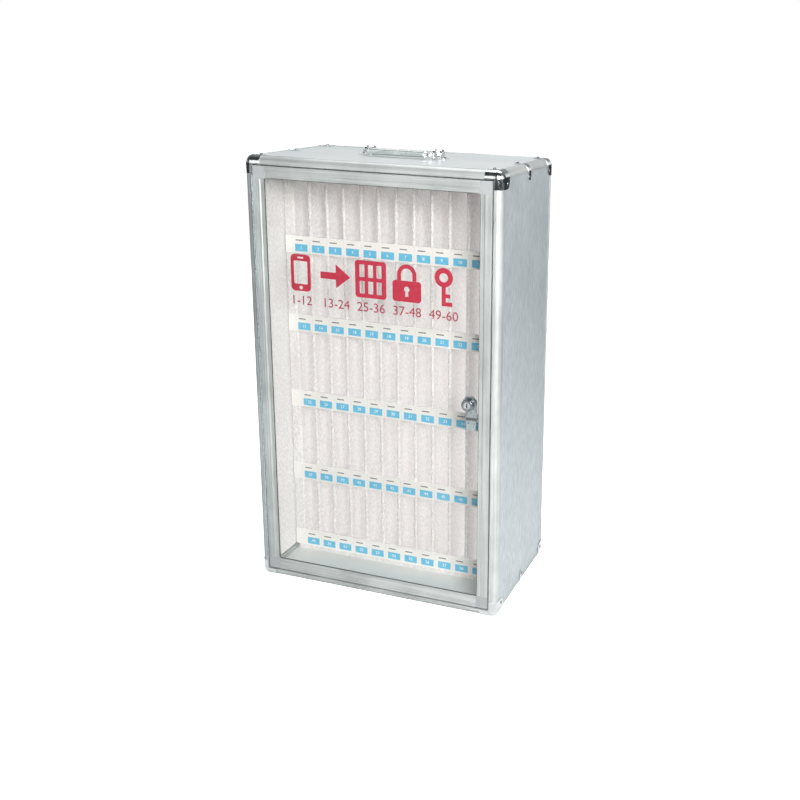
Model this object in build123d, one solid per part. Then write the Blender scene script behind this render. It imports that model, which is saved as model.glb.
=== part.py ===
from build123d import *
import os

# Cell phone locker box: an aluminium-framed cabinet with a clear, lockable front door
# and five tiers of numbered foam slots. All lengths are millimetres, all angles degrees.
# X runs to the right, Y to the back, Z up. The origin is the middle of the footprint.

# --- Cabinet, measured over its edge extrusions -----------------------------------------
WIDTH = 430.0
DEPTH = 240.0
HEIGHT = 718.0

# --- Edge extrusions --------------------------------------------------------------------
EDGE_FACE = 12.0         # width of an edge extrusion on each of its two outer faces
EDGE_RADIUS = 11.5       # rounding of the outer edge
EDGE_WALL = 1.2
SLOT_FLOOR = 9.2         # floor of the panel slot, from the outer face
OUTER_LIP = 0.8          # lip that covers the edge of a panel
JOINT = 13.2             # extrusions stop this far from a corner; inner lips reach as far
STOP_REACH = 11.4        # how far the door stop stands out from a front extrusion

# --- Panels -----------------------------------------------------------------------------
PANEL_SHEET = 3.0
SLOT_PLAY = 0.1          # play of a panel on each side of its slot
EDGE_PLAY = 0.3          # play at the floor of the slot and at notches

# --- Corner connectors ------------------------------------------------------------------
TONGUE_START = 4.5       # tongues keep clear of the rounded wall of the chamber
TONGUE_SIZE = 3.2
TONGUE_LENGTH = 12.0

# --- Corner caps, straps and rivets -----------------------------------------------------
CAP_SHEET = 0.8
CAP_SEAT = 0.05          # film of air between a cap and the extrusions under it
CAP_REACH = 28.0
CAP_ROUNDING = 10.0
STRAP_WIDTH = 12.0
STRAP_REACH = 25.0
STRAP_ROUNDING = 5.0
RIVET_RADIUS = 2.6
RIVET_HEIGHT = 1.1
RIVET_INSET = 20.0       # of a rivet from the outer faces of the cabinet

# --- Door -------------------------------------------------------------------------------
DOOR_GAP = 2.2           # all round, between the door and the front extrusions
DOOR_SETBACK = 0.5       # the door's face lies this far behind the cabinet's face
DOOR_THICK = 13.0
STOP_GAP = 0.5           # between the closed door and its stop
FRAME_FACE = 20.0        # width of a stile or rail, and the size of a corner block
FRAME_WALL = 1.2
FRAME_CHAMBER = 12.0     # width of the hollow part of a stile or rail
BEVEL_START = 11.0
BEVEL_WIDTH = 2.0
BEVEL_DROP = 1.0
LIP_END = 18.6           # inner edge of the front lip
BACK_LIP_END = 17.0
GROOVE_WIDTH = 0.7
GROOVE_DEPTH = 0.4
GROOVES = (3.2, 7.4)     # two fine grooves along each stile and rail
GLAZING = 3.0            # clear sheet
GLAZING_EDGE = 13.5      # edge of the clear sheet, from the door's outer edge
GASKET_THICK = 0.8
GASKET_SIGHT = 1.0       # how much of the gasket shows past the lip
BLOCK_TONGUE_LENGTH = 15.0
BLOCK_TONGUE_PLAY = 0.6

# --- Piano hinge ------------------------------------------------------------------------
LEAF_SHEET = 0.5
KNUCKLE_RADIUS = 1.4
HINGE_PIN_RADIUS = 0.7
HINGE_PIN_PLAY = 0.05
AXIS_AHEAD = 1.8         # hinge axis, ahead of the cabinet's face
HINGE_END_GAP = 1.5      # between the hinge and the corner caps above and below it
KNUCKLES = 25
KNUCKLE_GAP = 0.35       # between neighbouring knuckles, and around a turning one
LEAF_DEPTH = 12.0

# --- Cam lock ---------------------------------------------------------------------------
LOCK_INSET = 37.1        # middle of the lock, from the closing edge of the door
LOCK_DROP = 2.85         # middle of the lock, below the middle of the door
LOCK_HEAD_RADIUS = 9.5
LOCK_HEAD_LENGTH = 5.0
LOCK_RIM = 1.2           # rounding of the head's rim
LOCK_BARREL_RADIUS = 8.0
LOCK_BARREL_END = 18.6   # end of the barrel, behind the cabinet's face
LOCK_FIT = 0.05
PLUG_RADIUS = 5.5
PLUG_RECESS = 0.4        # plug face behind the face of the head
KEYWAY_WIDTH = 1.8
KEYWAY_HEIGHT = 7.0
KEYWAY_DEPTH = 14.0
NUT_FLATS = 22.0
NUT_THICK = 4.0
CAM_SHEET = 1.6
CAM_WIDTH = 17.0
CAM_LENGTH = 46.5
CAM_CRANK_START = 26.0
CAM_CRANK_END = 30.0
CAM_STOP_GAP = 0.5       # between the turned cam and the back of the door stop
CAM_TIP_ROUNDING = 3.0
TAIL_SIZE = 6.0
TAIL_PLAY = 0.1
SCREW_RADIUS = 2.0
SCREW_LENGTH = 7.0
SCREW_HEAD_RADIUS = 4.6
SCREW_HEAD_HEIGHT = 2.2
SCREW_PLAY = 0.05

# --- Slot rack --------------------------------------------------------------------------
TIERS = 5
TOP_TIER_HEIGHT = 162.8
LOWEST_TIER_HEIGHT = 127.5   # the tiers between share the rest of the height
FIRST_TIER_Z = 15.4      # underside of the lowest shelf
SLOTS = 12
FIRST_DIVIDER_INSET = 15.7   # middle of the first divider, from the left side pad
LAST_DIVIDER_INSET = 18.3    # middle of the last divider, from the right side pad
DIVIDER_THICK = 6.0
DIVIDER_ROUNDING = 2.5
SHELF_THICK = 6.0
RACK_SETBACK = 90.5      # face of the label strips, behind the cabinet's face
RACK_TOP_GAP = 5.5       # from the cabinet's top down to the top of the rack
STRIP_HEIGHT = 29.0
STRIP_THICK = 2.5
STRIP_END_GAP = 2.0      # from the side pads to the ends of a label strip
CARD_THICK = 0.5
CARD_POCKET = 0.3
CARD_MARGIN = 0.8
SIDE_PAD_THICK = 6.1
SIDE_PAD_SETBACK = 22.0
PAD_END_GAP = 14.0       # of the pads from the outer faces, clear of the inner lips
FOAM_PLAY = 0.3
FLOOR_PAD_SETBACK = 94.5

# --- Carrying handle --------------------------------------------------------------------
HANDLE_SPACING = 120.0   # between the two pivots
HANDLE_Y = 4.0           # pivot line, behind the middle of the top
HANDLE_PIVOT_HEIGHT = 8.0
HANDLE_REACH = 24.0      # from the pivot line to the middle of the grip
BAIL_WIDTH = 8.0
BAIL_THICK = 5.0
BAIL_BEND = 9.0
BAIL_EYE_RADIUS = 5.0
HANDLE_PIN_RADIUS = 1.6
HANDLE_PIN_PLAY = 0.06
GRIP_LENGTH = 94.0
GRIP_WIDTH = 14.0
GRIP_THICK = 9.0
GRIP_ROUNDING = 3.5
GRIP_FIT = 0.05
MOUNT_EAR = 3.0
MOUNT_EAR_RADIUS = 6.5
MOUNT_EAR_GAP = 0.5
MOUNT_FLANGE = 8.0       # foot that the mount's screw goes through
MOUNT_LENGTH = 24.0
MOUNT_SHEET = 2.0
MOUNT_ROUNDING = 3.0

# --- Places worked out from the sizes above ---------------------------------------------
BASE = CAP_SEAT + CAP_SHEET
TOP = BASE + HEIGHT
MIDDLE_Z = BASE + HEIGHT / 2
SIDE = WIDTH / 2
FRONT = -DEPTH / 2
BACK = DEPTH / 2
PANEL_SKIN = OUTER_LIP + SLOT_PLAY
PANEL_INNER = PANEL_SKIN + PANEL_SHEET
INNER_LIP = PANEL_INNER + SLOT_PLAY
PANEL_EDGE = SLOT_FLOOR + EDGE_PLAY
DOOR_EDGE = JOINT + DOOR_GAP
DOOR_SIDE = SIDE - DOOR_EDGE
DOOR_BOTTOM = BASE + DOOR_EDGE
DOOR_TOP = TOP - DOOR_EDGE
DOOR_HEIGHT = DOOR_TOP - DOOR_BOTTOM
DOOR_FACE = FRONT + DOOR_SETBACK
STOP_FACE = DOOR_SETBACK + DOOR_THICK + STOP_GAP
LIP_FACE = BEVEL_DROP
LIP_BACK = LIP_FACE + FRAME_WALL
GLAZING_FACE = LIP_BACK + GASKET_THICK
GLAZING_BACK = GLAZING_FACE + GLAZING
BACK_LIP = GLAZING_BACK + SLOT_PLAY
HINGE_X = -DOOR_SIDE - DOOR_GAP / 2
HINGE_Y = FRONT - AXIS_AHEAD
HINGE_BOTTOM = BASE + CAP_REACH + HINGE_END_GAP
HINGE_LENGTH = HEIGHT - 2 * (CAP_REACH + HINGE_END_GAP)
CAM_TIP_FACE = STOP_FACE + EDGE_WALL + CAM_STOP_GAP
LOCK_X = DOOR_SIDE - LOCK_INSET
LOCK_Z = MIDDLE_Z - LOCK_DROP
LOCK_SEAT = DOOR_FACE + GLAZING_FACE
RACK_FACE = FRONT + RACK_SETBACK
RACK_FRONT = RACK_FACE + STRIP_THICK
PAD_SIDE = SIDE - PANEL_INNER - SIDE_PAD_THICK
BACK_PAD_FACE = BACK - PAD_END_GAP
RACK_TOP = TOP - RACK_TOP_GAP
RACK_BOTTOM = BASE + FIRST_TIER_Z
LOWEST_TIER_TOP = RACK_BOTTOM + LOWEST_TIER_HEIGHT
TIER_PITCH = (RACK_TOP - TOP_TIER_HEIGHT - LOWEST_TIER_TOP) / (TIERS - 2)
FIRST_DIVIDER_X = FIRST_DIVIDER_INSET - PAD_SIDE
SLOT_PITCH = (PAD_SIDE - LAST_DIVIDER_INSET - FIRST_DIVIDER_X) / SLOTS
HANDLE_Z = TOP - PANEL_SKIN + HANDLE_PIVOT_HEIGHT


# --- Small helpers ----------------------------------------------------------------------
def pane(a0, b0, a1, b1):
    """A rectangle from its low corner to its high corner."""
    return Pos((a0 + a1) / 2, (b0 + b1) / 2) * Rectangle(a1 - a0, b1 - b0)


def rounded_pane(a0, b0, a1, b1, radius):
    """A rectangle whose low corner is rounded."""
    face = pane(a0, b0, a1, b1)
    low_corner = face.vertices().sort_by(lambda vertex: vertex.X + vertex.Y)[0]
    return fillet(low_corner, radius)


def block(x0, y0, z0, x1, y1, z1):
    """A box from its low corner to its high corner."""
    centre = ((x0 + x1) / 2, (y0 + y1) / 2, (z0 + z1) / 2)
    return Pos(*centre) * Box(x1 - x0, y1 - y0, z1 - z0)


def bar(profile, middle, inward_a, inward_b, length):
    """Runs a profile both ways from the middle of a straight edge."""
    along = Vector(*inward_a).cross(Vector(*inward_b))
    plane = Plane(origin=middle, x_dir=inward_a, z_dir=along)
    return extrude(plane * profile, amount=length / 2, both=True)


def barrel(x, z, y0, y1, radius):
    """A round bar along Y."""
    centre = Pos(x, (y0 + y1) / 2, z) * Rot(90, 0, 0)
    return centre * Cylinder(radius, y1 - y0)


def corners():
    """The signs of the eight corners of the cabinet."""
    return [(sx, sy, sz) for sx in (-1, 1) for sy in (-1, 1) for sz in (-1, 1)]


def corner_point(sx, sy, sz):
    return Vector(sx * SIDE, sy * DEPTH / 2, MIDDLE_Z + sz * HEIGHT / 2)


def outer_form(offset):
    """The cabinet's rounded outer form, grown by an offset."""
    form = Box(WIDTH + 2 * offset, DEPTH + 2 * offset, HEIGHT + 2 * offset)
    return Pos(0, 0, MIDDLE_Z) * fillet(form.edges(), EDGE_RADIUS + offset)


# --- Edge extrusions --------------------------------------------------------------------
def edge_profile():
    """Rounded extrusion with a hollow chamber and a panel slot along each face."""
    form = rounded_pane(0, 0, EDGE_FACE, EDGE_FACE, EDGE_RADIUS)
    bore = rounded_pane(EDGE_WALL, EDGE_WALL, EDGE_FACE, EDGE_FACE, EDGE_RADIUS - EDGE_WALL)
    chamber_end = SLOT_FLOOR - EDGE_WALL
    form -= bore & pane(EDGE_WALL, EDGE_WALL, chamber_end, chamber_end)
    form -= pane(OUTER_LIP, SLOT_FLOOR, EDGE_FACE, EDGE_FACE)
    form -= pane(SLOT_FLOOR, OUTER_LIP, EDGE_FACE, EDGE_FACE)
    form += pane(INNER_LIP, chamber_end, INNER_LIP + EDGE_WALL, JOINT)
    form += pane(chamber_end, INNER_LIP, JOINT, INNER_LIP + EDGE_WALL)
    return form


def front_profile():
    """Front extrusion: panel slot behind, and a web with a stop flange for the door."""
    form = rounded_pane(0, 0, JOINT, EDGE_FACE, EDGE_RADIUS)
    bore = rounded_pane(EDGE_WALL, EDGE_WALL, JOINT, EDGE_FACE, EDGE_RADIUS - EDGE_WALL)
    chamber_end = SLOT_FLOOR - EDGE_WALL
    web = JOINT - EDGE_WALL
    form -= bore & pane(EDGE_WALL, EDGE_WALL, web, chamber_end)
    form -= pane(OUTER_LIP, SLOT_FLOOR, JOINT, EDGE_FACE)
    form += pane(INNER_LIP, chamber_end, INNER_LIP + EDGE_WALL, JOINT)
    form += pane(web, chamber_end, JOINT, STOP_FACE + EDGE_WALL)
    form += pane(web, STOP_FACE, JOINT + STOP_REACH, STOP_FACE + EDGE_WALL)
    return form


def post(side, face):
    """An upright extrusion at a left (-1) or right (1), front (-1) or back (1) edge."""
    profile = front_profile() if face < 0 else edge_profile()
    middle = (side * SIDE, face * DEPTH / 2, MIDDLE_Z)
    return bar(profile, middle, (-side, 0, 0), (0, -face, 0), HEIGHT - 2 * JOINT)


def cross_rail(face, level):
    """A left-to-right extrusion at the front (-1) or back (1), bottom (-1) or top (1)."""
    profile = front_profile() if face < 0 else edge_profile()
    middle = (0, face * DEPTH / 2, MIDDLE_Z + level * HEIGHT / 2)
    rail = bar(profile, middle, (0, 0, -level), (0, -face, 0), WIDTH - 2 * JOINT)
    if face < 0:
        rail -= stop_notches(level)
    return rail


def stop_notches(level):
    """Room at both ends of a front rail for the door stops of the posts."""
    z_web = MIDDLE_Z + level * (HEIGHT / 2 - JOINT)
    z_tip = z_web - level * (STOP_REACH + 1)
    notches = Part()
    for side in (-1, 1):
        x_end = side * (SIDE - JOINT + 1)
        x_in = side * (SIDE - JOINT - STOP_REACH - EDGE_PLAY)
        y_in = FRONT + STOP_FACE + EDGE_WALL + 1
        notches += block(
            min(x_end, x_in), FRONT + STOP_FACE - EDGE_PLAY, min(z_web, z_tip),
            max(x_end, x_in), y_in, max(z_web, z_tip),
        )
    return notches


def side_rail(side, level):
    """A front-to-back extrusion at the left or right, bottom or top."""
    middle = (side * SIDE, 0, MIDDLE_Z + level * HEIGHT / 2)
    return bar(edge_profile(), middle, (-side, 0, 0), (0, 0, -level), DEPTH - 2 * JOINT)


# --- Panels -----------------------------------------------------------------------------
def notched_sheet(width, height, centre, x_dir, z_dir):
    """A panel whose corners are notched around the corner connectors."""
    notch = JOINT + EDGE_PLAY - PANEL_EDGE
    outline = Rectangle(width, height)
    for sx in (-1, 1):
        for sy in (-1, 1):
            outline -= Pos(sx * width / 2, sy * height / 2) * Rectangle(2 * notch, 2 * notch)
    plane = Plane(origin=centre, x_dir=x_dir, z_dir=z_dir)
    return extrude(plane * outline, amount=PANEL_SHEET / 2, both=True)


def side_panel(side):
    centre = (side * (SIDE - PANEL_SKIN - PANEL_SHEET / 2), 0, MIDDLE_Z)
    return notched_sheet(
        DEPTH - 2 * PANEL_EDGE, HEIGHT - 2 * PANEL_EDGE, centre, (0, 1, 0), (1, 0, 0))


def level_panel(level):
    """The top (1) or bottom (-1) panel."""
    centre = (0, 0, MIDDLE_Z + level * (HEIGHT / 2 - PANEL_SKIN - PANEL_SHEET / 2))
    return notched_sheet(
        WIDTH - 2 * PANEL_EDGE, DEPTH - 2 * PANEL_EDGE, centre, (1, 0, 0), (0, 0, 1))


def back_panel():
    centre = (0, BACK - PANEL_SKIN - PANEL_SHEET / 2, MIDDLE_Z)
    return notched_sheet(
        WIDTH - 2 * PANEL_EDGE, HEIGHT - 2 * PANEL_EDGE, centre, (1, 0, 0), (0, 1, 0))


# --- Corner connectors, caps, straps and rivets -------------------------------------------
def corner_connector(sx, sy, sz, form):
    """Die-cast three-way joint: a rounded corner with a tongue for each extrusion."""
    point = corner_point(sx, sy, sz)
    inward = Vector(-sx, -sy, -sz)
    body = form & (Pos(*point) * Box(2 * JOINT, 2 * JOINT, 2 * JOINT))
    middle = TONGUE_START + TONGUE_SIZE / 2
    for axis in range(3):
        size = [TONGUE_SIZE] * 3
        place = [middle] * 3
        size[axis] = TONGUE_LENGTH
        place[axis] = JOINT + TONGUE_LENGTH / 2
        centre = [p + d * step for p, d, step in zip(point, inward, place)]
        body += Pos(*centre) * Box(*size)
    return body


def sheet_shell():
    """Pressed sheet that follows the cabinet's outer form all round."""
    return outer_form(CAP_SEAT + CAP_SHEET) - outer_form(CAP_SEAT)


def corner_cap(sx, sy, sz, shell):
    """Pressed three-way corner cap with a rounded lobe on each face."""
    reach = 2 * CAP_REACH
    zone = fillet(Box(reach, reach, reach).edges(), CAP_ROUNDING)
    cap = shell & (Pos(*corner_point(sx, sy, sz)) * zone)
    if sy < 0:
        cap -= block(
            JOINT - SIDE, FRONT - CAP_REACH, BASE + JOINT,
            SIDE - JOINT, FRONT + SLOT_FLOOR, TOP - JOINT,
        )
    return cap


def edge_strap(side, level, shell):
    """Strap over the middle of a side rail."""
    zone = Box(2 * STRAP_REACH, STRAP_WIDTH, 2 * STRAP_REACH)
    zone = fillet(zone.edges().filter_by(Axis.X), STRAP_ROUNDING)
    zone = fillet(zone.edges().filter_by(Axis.Z), STRAP_ROUNDING)
    return shell & (Pos(side * SIDE, 0, MIDDLE_Z + level * HEIGHT / 2) * zone)


def rivet(place, outward):
    """Low domed head that stands on a sheet."""
    ball = (RIVET_RADIUS ** 2 + RIVET_HEIGHT ** 2) / (2 * RIVET_HEIGHT)
    dome = Pos(0, 0, RIVET_HEIGHT - ball) * Sphere(ball)
    dome &= Pos(0, 0, ball / 2) * Cylinder(RIVET_RADIUS + 1, ball)
    return Plane(origin=place, z_dir=outward) * dome


def rivet_places():
    """Where rivets stand: on caps and straps, but none under the cabinet."""
    x_in = SIDE - RIVET_INSET
    y_in = DEPTH / 2 - RIVET_INSET
    skin = CAP_SEAT + CAP_SHEET
    places = []
    for sx in (-1, 1):
        for sz in (-1, 1):
            z_in = MIDDLE_Z + sz * (HEIGHT / 2 - RIVET_INSET)
            for y in (-y_in, 0, y_in):
                places.append(((sx * (SIDE + skin), y, z_in), (sx, 0, 0)))
            places.append(((sx * x_in, BACK + skin, z_in), (0, 1, 0)))
        for y in (-y_in, 0, y_in):
            places.append(((sx * x_in, y, TOP + skin), (0, 0, 1)))
        foot_x = sx * (HANDLE_SPACING / 2 + BAIL_WIDTH / 2 + MOUNT_EAR_GAP + MOUNT_EAR)
        foot_x += sx * MOUNT_FLANGE / 2
        places.append(((foot_x, HANDLE_Y, TOP - PANEL_SKIN + MOUNT_SHEET), (0, 0, 1)))
    return places


# --- Door frame -------------------------------------------------------------------------
def frame_profile():
    """Ribbed door extrusion: a hollow part outside and a glazing channel inside."""
    end = DOOR_THICK
    bevel_end = BEVEL_START + BEVEL_WIDTH
    outline = Polyline(
        (0, 0), (BEVEL_START, 0), (bevel_end, BEVEL_DROP), (LIP_END, LIP_FACE),
        (LIP_END, LIP_BACK), (FRAME_CHAMBER, LIP_BACK), (FRAME_CHAMBER, BACK_LIP),
        (BACK_LIP_END, BACK_LIP), (BACK_LIP_END, BACK_LIP + FRAME_WALL),
        (FRAME_CHAMBER, BACK_LIP + FRAME_WALL), (FRAME_CHAMBER, end), (0, end), (0, 0),
    )
    form = make_face(outline)
    wall = FRAME_WALL
    form -= pane(wall, 2 * wall, FRAME_CHAMBER - wall, end - wall)
    for groove in GROOVES:
        form -= pane(groove, -GROOVE_DEPTH, groove + GROOVE_WIDTH, GROOVE_DEPTH)
    return form


def stile(side):
    middle = (side * DOOR_SIDE, DOOR_FACE, (DOOR_BOTTOM + DOOR_TOP) / 2)
    length = DOOR_HEIGHT - 2 * FRAME_FACE
    return bar(frame_profile(), middle, (-side, 0, 0), (0, 1, 0), length)


def door_rail(level):
    z_edge = DOOR_TOP if level > 0 else DOOR_BOTTOM
    length = 2 * DOOR_SIDE - 2 * FRAME_FACE
    return bar(frame_profile(), (0, DOOR_FACE, z_edge), (0, 0, -level), (0, 1, 0), length)


def corner_block(side, level):
    """Moulded corner with a tongue into the stile and one into the rail."""
    play = FRAME_WALL + BLOCK_TONGUE_PLAY
    tongue = FRAME_CHAMBER - 2 * play
    y0 = 2 * FRAME_WALL + BLOCK_TONGUE_PLAY
    y1 = DOOR_THICK - play
    body = block(0, 0, 0, FRAME_FACE, DOOR_THICK, FRAME_FACE)
    pocket = GLAZING_EDGE - EDGE_PLAY
    body -= block(
        pocket, LIP_BACK, pocket, FRAME_FACE + 1, BACK_LIP, FRAME_FACE + 1)
    end = FRAME_FACE + BLOCK_TONGUE_LENGTH
    body += block(play, y0, FRAME_FACE, play + tongue, y1, end)
    body += block(FRAME_FACE, y0, play, end, y1, play + tongue)
    if side > 0:
        body = mirror(body, about=Plane.YZ)
    if level > 0:
        body = mirror(body, about=Plane.XY)
    z_edge = DOOR_TOP if level > 0 else DOOR_BOTTOM
    return Pos(side * DOOR_SIDE, DOOR_FACE, z_edge) * body


def glazing():
    """Clear sheet with a hole for the lock."""
    x_edge = DOOR_SIDE - GLAZING_EDGE
    sheet = block(
        -x_edge, DOOR_FACE + GLAZING_FACE, DOOR_BOTTOM + GLAZING_EDGE,
        x_edge, DOOR_FACE + GLAZING_BACK, DOOR_TOP - GLAZING_EDGE,
    )
    hole = barrel(LOCK_X, LOCK_Z, DOOR_FACE, DOOR_FACE + DOOR_THICK, LOCK_BARREL_RADIUS + LOCK_FIT)
    return sheet - hole


def gasket():
    """Flat seal between the front lips and the clear sheet."""
    x_edge = DOOR_SIDE - GLAZING_EDGE
    inner = LIP_END + GASKET_SIGHT
    y0 = DOOR_FACE + LIP_BACK
    y1 = DOOR_FACE + GLAZING_FACE
    ring = block(-x_edge, y0, DOOR_BOTTOM + GLAZING_EDGE, x_edge, y1, DOOR_TOP - GLAZING_EDGE)
    return ring - block(
        inner - DOOR_SIDE, y0 - 1, DOOR_BOTTOM + inner, DOOR_SIDE - inner, y1 + 1, DOOR_TOP - inner)


# --- Piano hinge ------------------------------------------------------------------------
def knuckle_span(index):
    """Bottom and top of one knuckle."""
    pitch = HINGE_LENGTH / KNUCKLES
    bottom = HINGE_BOTTOM + index * pitch
    return bottom + KNUCKLE_GAP / 2, bottom + pitch - KNUCKLE_GAP / 2


def hinge_leaf(plate_x, own):
    """A leaf with every second knuckle: own is 0 for the cabinet's and 1 for the door's."""
    y0 = HINGE_Y + HINGE_PIN_RADIUS + HINGE_PIN_PLAY
    leaf = block(
        plate_x, y0, HINGE_BOTTOM,
        plate_x + LEAF_SHEET, FRONT + DOOR_SETBACK + LEAF_DEPTH, HINGE_BOTTOM + HINGE_LENGTH,
    )
    for index in range(KNUCKLES):
        bottom, top = knuckle_span(index)
        middle = Pos(HINGE_X, HINGE_Y, (bottom + top) / 2)
        if index % 2 == own:
            leaf += middle * Cylinder(KNUCKLE_RADIUS, top - bottom)
        else:
            room = top - bottom + 2 * KNUCKLE_GAP
            leaf -= middle * Cylinder(KNUCKLE_RADIUS + KNUCKLE_GAP, room)
    middle = Pos(HINGE_X, HINGE_Y, HINGE_BOTTOM + HINGE_LENGTH / 2)
    return leaf - middle * Cylinder(HINGE_PIN_RADIUS + HINGE_PIN_PLAY, HINGE_LENGTH)


def hinge_pin():
    middle = Pos(HINGE_X, HINGE_Y, HINGE_BOTTOM + HINGE_LENGTH / 2)
    return middle * Cylinder(HINGE_PIN_RADIUS, HINGE_LENGTH)


# --- Cam lock ---------------------------------------------------------------------------
def lock_body():
    """Round head in front of the clear sheet and a barrel through it."""
    head_face = LOCK_SEAT - LOCK_HEAD_LENGTH
    head = barrel(LOCK_X, LOCK_Z, head_face, LOCK_SEAT, LOCK_HEAD_RADIUS)
    head = fillet(head.edges().sort_by(Axis.Y)[0], LOCK_RIM)
    body = head + barrel(LOCK_X, LOCK_Z, LOCK_SEAT, FRONT + LOCK_BARREL_END, LOCK_BARREL_RADIUS)
    bore = PLUG_RADIUS + LOCK_FIT
    return body - barrel(LOCK_X, LOCK_Z, head_face - 1, FRONT + LOCK_BARREL_END + 1, bore)


def lock_nut():
    """Hexagonal nut behind the clear sheet."""
    y0 = DOOR_FACE + GLAZING_BACK
    centre = Pos(LOCK_X, y0 + NUT_THICK, LOCK_Z) * Rot(90, 0, 0)
    hexagon = RegularPolygon(NUT_FLATS / 2, 6, major_radius=False)
    nut = centre * extrude(hexagon, amount=NUT_THICK)
    return nut - barrel(LOCK_X, LOCK_Z, y0 - 1, y0 + NUT_THICK + 1, LOCK_BARREL_RADIUS + LOCK_FIT)


def lock_plug():
    """Turning cylinder with a keyway in front and a square tail behind."""
    face = LOCK_SEAT - LOCK_HEAD_LENGTH + PLUG_RECESS
    end = FRONT + LOCK_BARREL_END + LOCK_FIT
    plug = barrel(LOCK_X, LOCK_Z, face, end, PLUG_RADIUS)
    half = TAIL_SIZE / 2
    plug += block(
        LOCK_X - half, end, LOCK_Z - half, LOCK_X + half, end + CAM_SHEET, LOCK_Z + half)
    plug -= block(
        LOCK_X - KEYWAY_WIDTH / 2, face - 1, LOCK_Z - KEYWAY_HEIGHT / 2,
        LOCK_X + KEYWAY_WIDTH / 2, face + KEYWAY_DEPTH, LOCK_Z + KEYWAY_HEIGHT / 2,
    )
    hole_start = end + CAM_SHEET - SCREW_LENGTH
    return plug - barrel(LOCK_X, LOCK_Z, hole_start, end + 2 * CAM_SHEET, SCREW_RADIUS + SCREW_PLAY)


def cam():
    """Cranked cam, hanging down when the lock is open."""
    hub = LOCK_BARREL_END + LOCK_FIT
    tip = CAM_TIP_FACE
    side_view = Polyline(
        (hub, CAM_WIDTH / 2), (hub, -CAM_CRANK_START), (tip, -CAM_CRANK_END), (tip, -CAM_LENGTH),
        (tip + CAM_SHEET, -CAM_LENGTH), (tip + CAM_SHEET, -CAM_CRANK_END),
        (hub + CAM_SHEET, -CAM_CRANK_START), (hub + CAM_SHEET, CAM_WIDTH / 2),
        (hub, CAM_WIDTH / 2),
    )
    plane = Plane(origin=(LOCK_X, FRONT, LOCK_Z), x_dir=(0, 1, 0), z_dir=(1, 0, 0))
    plate = extrude(plane * make_face(side_view), amount=CAM_WIDTH / 2, both=True)
    plate &= cam_outline()
    half = TAIL_SIZE / 2 + TAIL_PLAY
    return plate - block(
        LOCK_X - half, FRONT, LOCK_Z - half, LOCK_X + half, FRONT + RACK_SETBACK, LOCK_Z + half)


def cam_outline():
    """The cam's outline seen from the front: a round hub and a rounded tip."""
    tab = pane(-CAM_WIDTH / 2, -CAM_LENGTH, CAM_WIDTH / 2, 0)
    tab = fillet(tab.vertices().group_by(Axis.Y)[0], CAM_TIP_ROUNDING)
    outline = tab + Circle(CAM_WIDTH / 2)
    plane = Plane(origin=(LOCK_X, FRONT, LOCK_Z), x_dir=(1, 0, 0), z_dir=(0, -1, 0))
    return extrude(plane * outline, amount=-RACK_SETBACK)


def cam_screw():
    seat = FRONT + LOCK_BARREL_END + LOCK_FIT + CAM_SHEET
    head = barrel(LOCK_X, LOCK_Z, seat, seat + SCREW_HEAD_HEIGHT, SCREW_HEAD_RADIUS)
    head = fillet(head.edges().sort_by(Axis.Y)[-1], SCREW_HEAD_HEIGHT / 2)
    return head + barrel(LOCK_X, LOCK_Z, seat - SCREW_LENGTH + SCREW_PLAY, seat, SCREW_RADIUS)


# --- Slot rack --------------------------------------------------------------------------
def tier_bottom(tier):
    """Underside of a tier's shelf; tier 1 is the top one."""
    if tier == TIERS:
        return RACK_BOTTOM
    return LOWEST_TIER_TOP + (TIERS - 1 - tier) * TIER_PITCH


def shelf(tier):
    z0 = tier_bottom(tier)
    x_edge = PAD_SIDE - FOAM_PLAY
    return block(-x_edge, RACK_FRONT, z0, x_edge, BACK_PAD_FACE, z0 + SHELF_THICK)


def fin(x0, x1, z0, z1, rounded=slice(None)):
    """Upright foam fin; its front edges that border a slot are rounded, counted from the left."""
    body = block(x0, RACK_FRONT, z0, x1, BACK_PAD_FACE, z1)
    front_edges = body.edges().filter_by(Axis.Z).group_by(Axis.Y)[0].sort_by(Axis.X)
    return fillet(front_edges[rounded], DIVIDER_ROUNDING)


def dividers(tier):
    """Fins from one shelf to the next; the first and last fill up to the side pads."""
    z0 = tier_bottom(tier) + SHELF_THICK
    z1 = tier_bottom(tier - 1) if tier > 1 else RACK_TOP
    half = DIVIDER_THICK / 2
    wall = PAD_SIDE - FOAM_PLAY
    middles = [FIRST_DIVIDER_X + i * SLOT_PITCH for i in range(SLOTS + 1)]
    left_end = fin(-wall, middles[0] + half, z0, z1, slice(1, 2))
    right_end = fin(middles[-1] - half, wall, z0, z1, slice(0, 1))
    between = [fin(x - half, x + half, z0, z1) for x in middles[1:-1]]
    return [left_end, *between, right_end]


def strip_side():
    return PAD_SIDE - STRIP_END_GAP


def label_strip(tier):
    """Ledge in front of a tier, with a shallow pocket for its card."""
    z0 = tier_bottom(tier)
    side = strip_side()
    pocket = side - CARD_MARGIN
    ledge = block(-side, RACK_FACE, z0, side, RACK_FRONT, z0 + STRIP_HEIGHT)
    return ledge - block(
        -pocket, RACK_FACE - 1, z0 + CARD_MARGIN,
        pocket, RACK_FACE + CARD_POCKET, z0 + STRIP_HEIGHT - CARD_MARGIN,
    )


def label_card(tier):
    z0 = tier_bottom(tier)
    margin = CARD_MARGIN + SLOT_PLAY
    side = strip_side() - margin
    y1 = RACK_FACE + CARD_POCKET
    return block(
        -side, y1 - CARD_THICK, z0 + margin, side, y1, z0 + STRIP_HEIGHT - margin)


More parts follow.
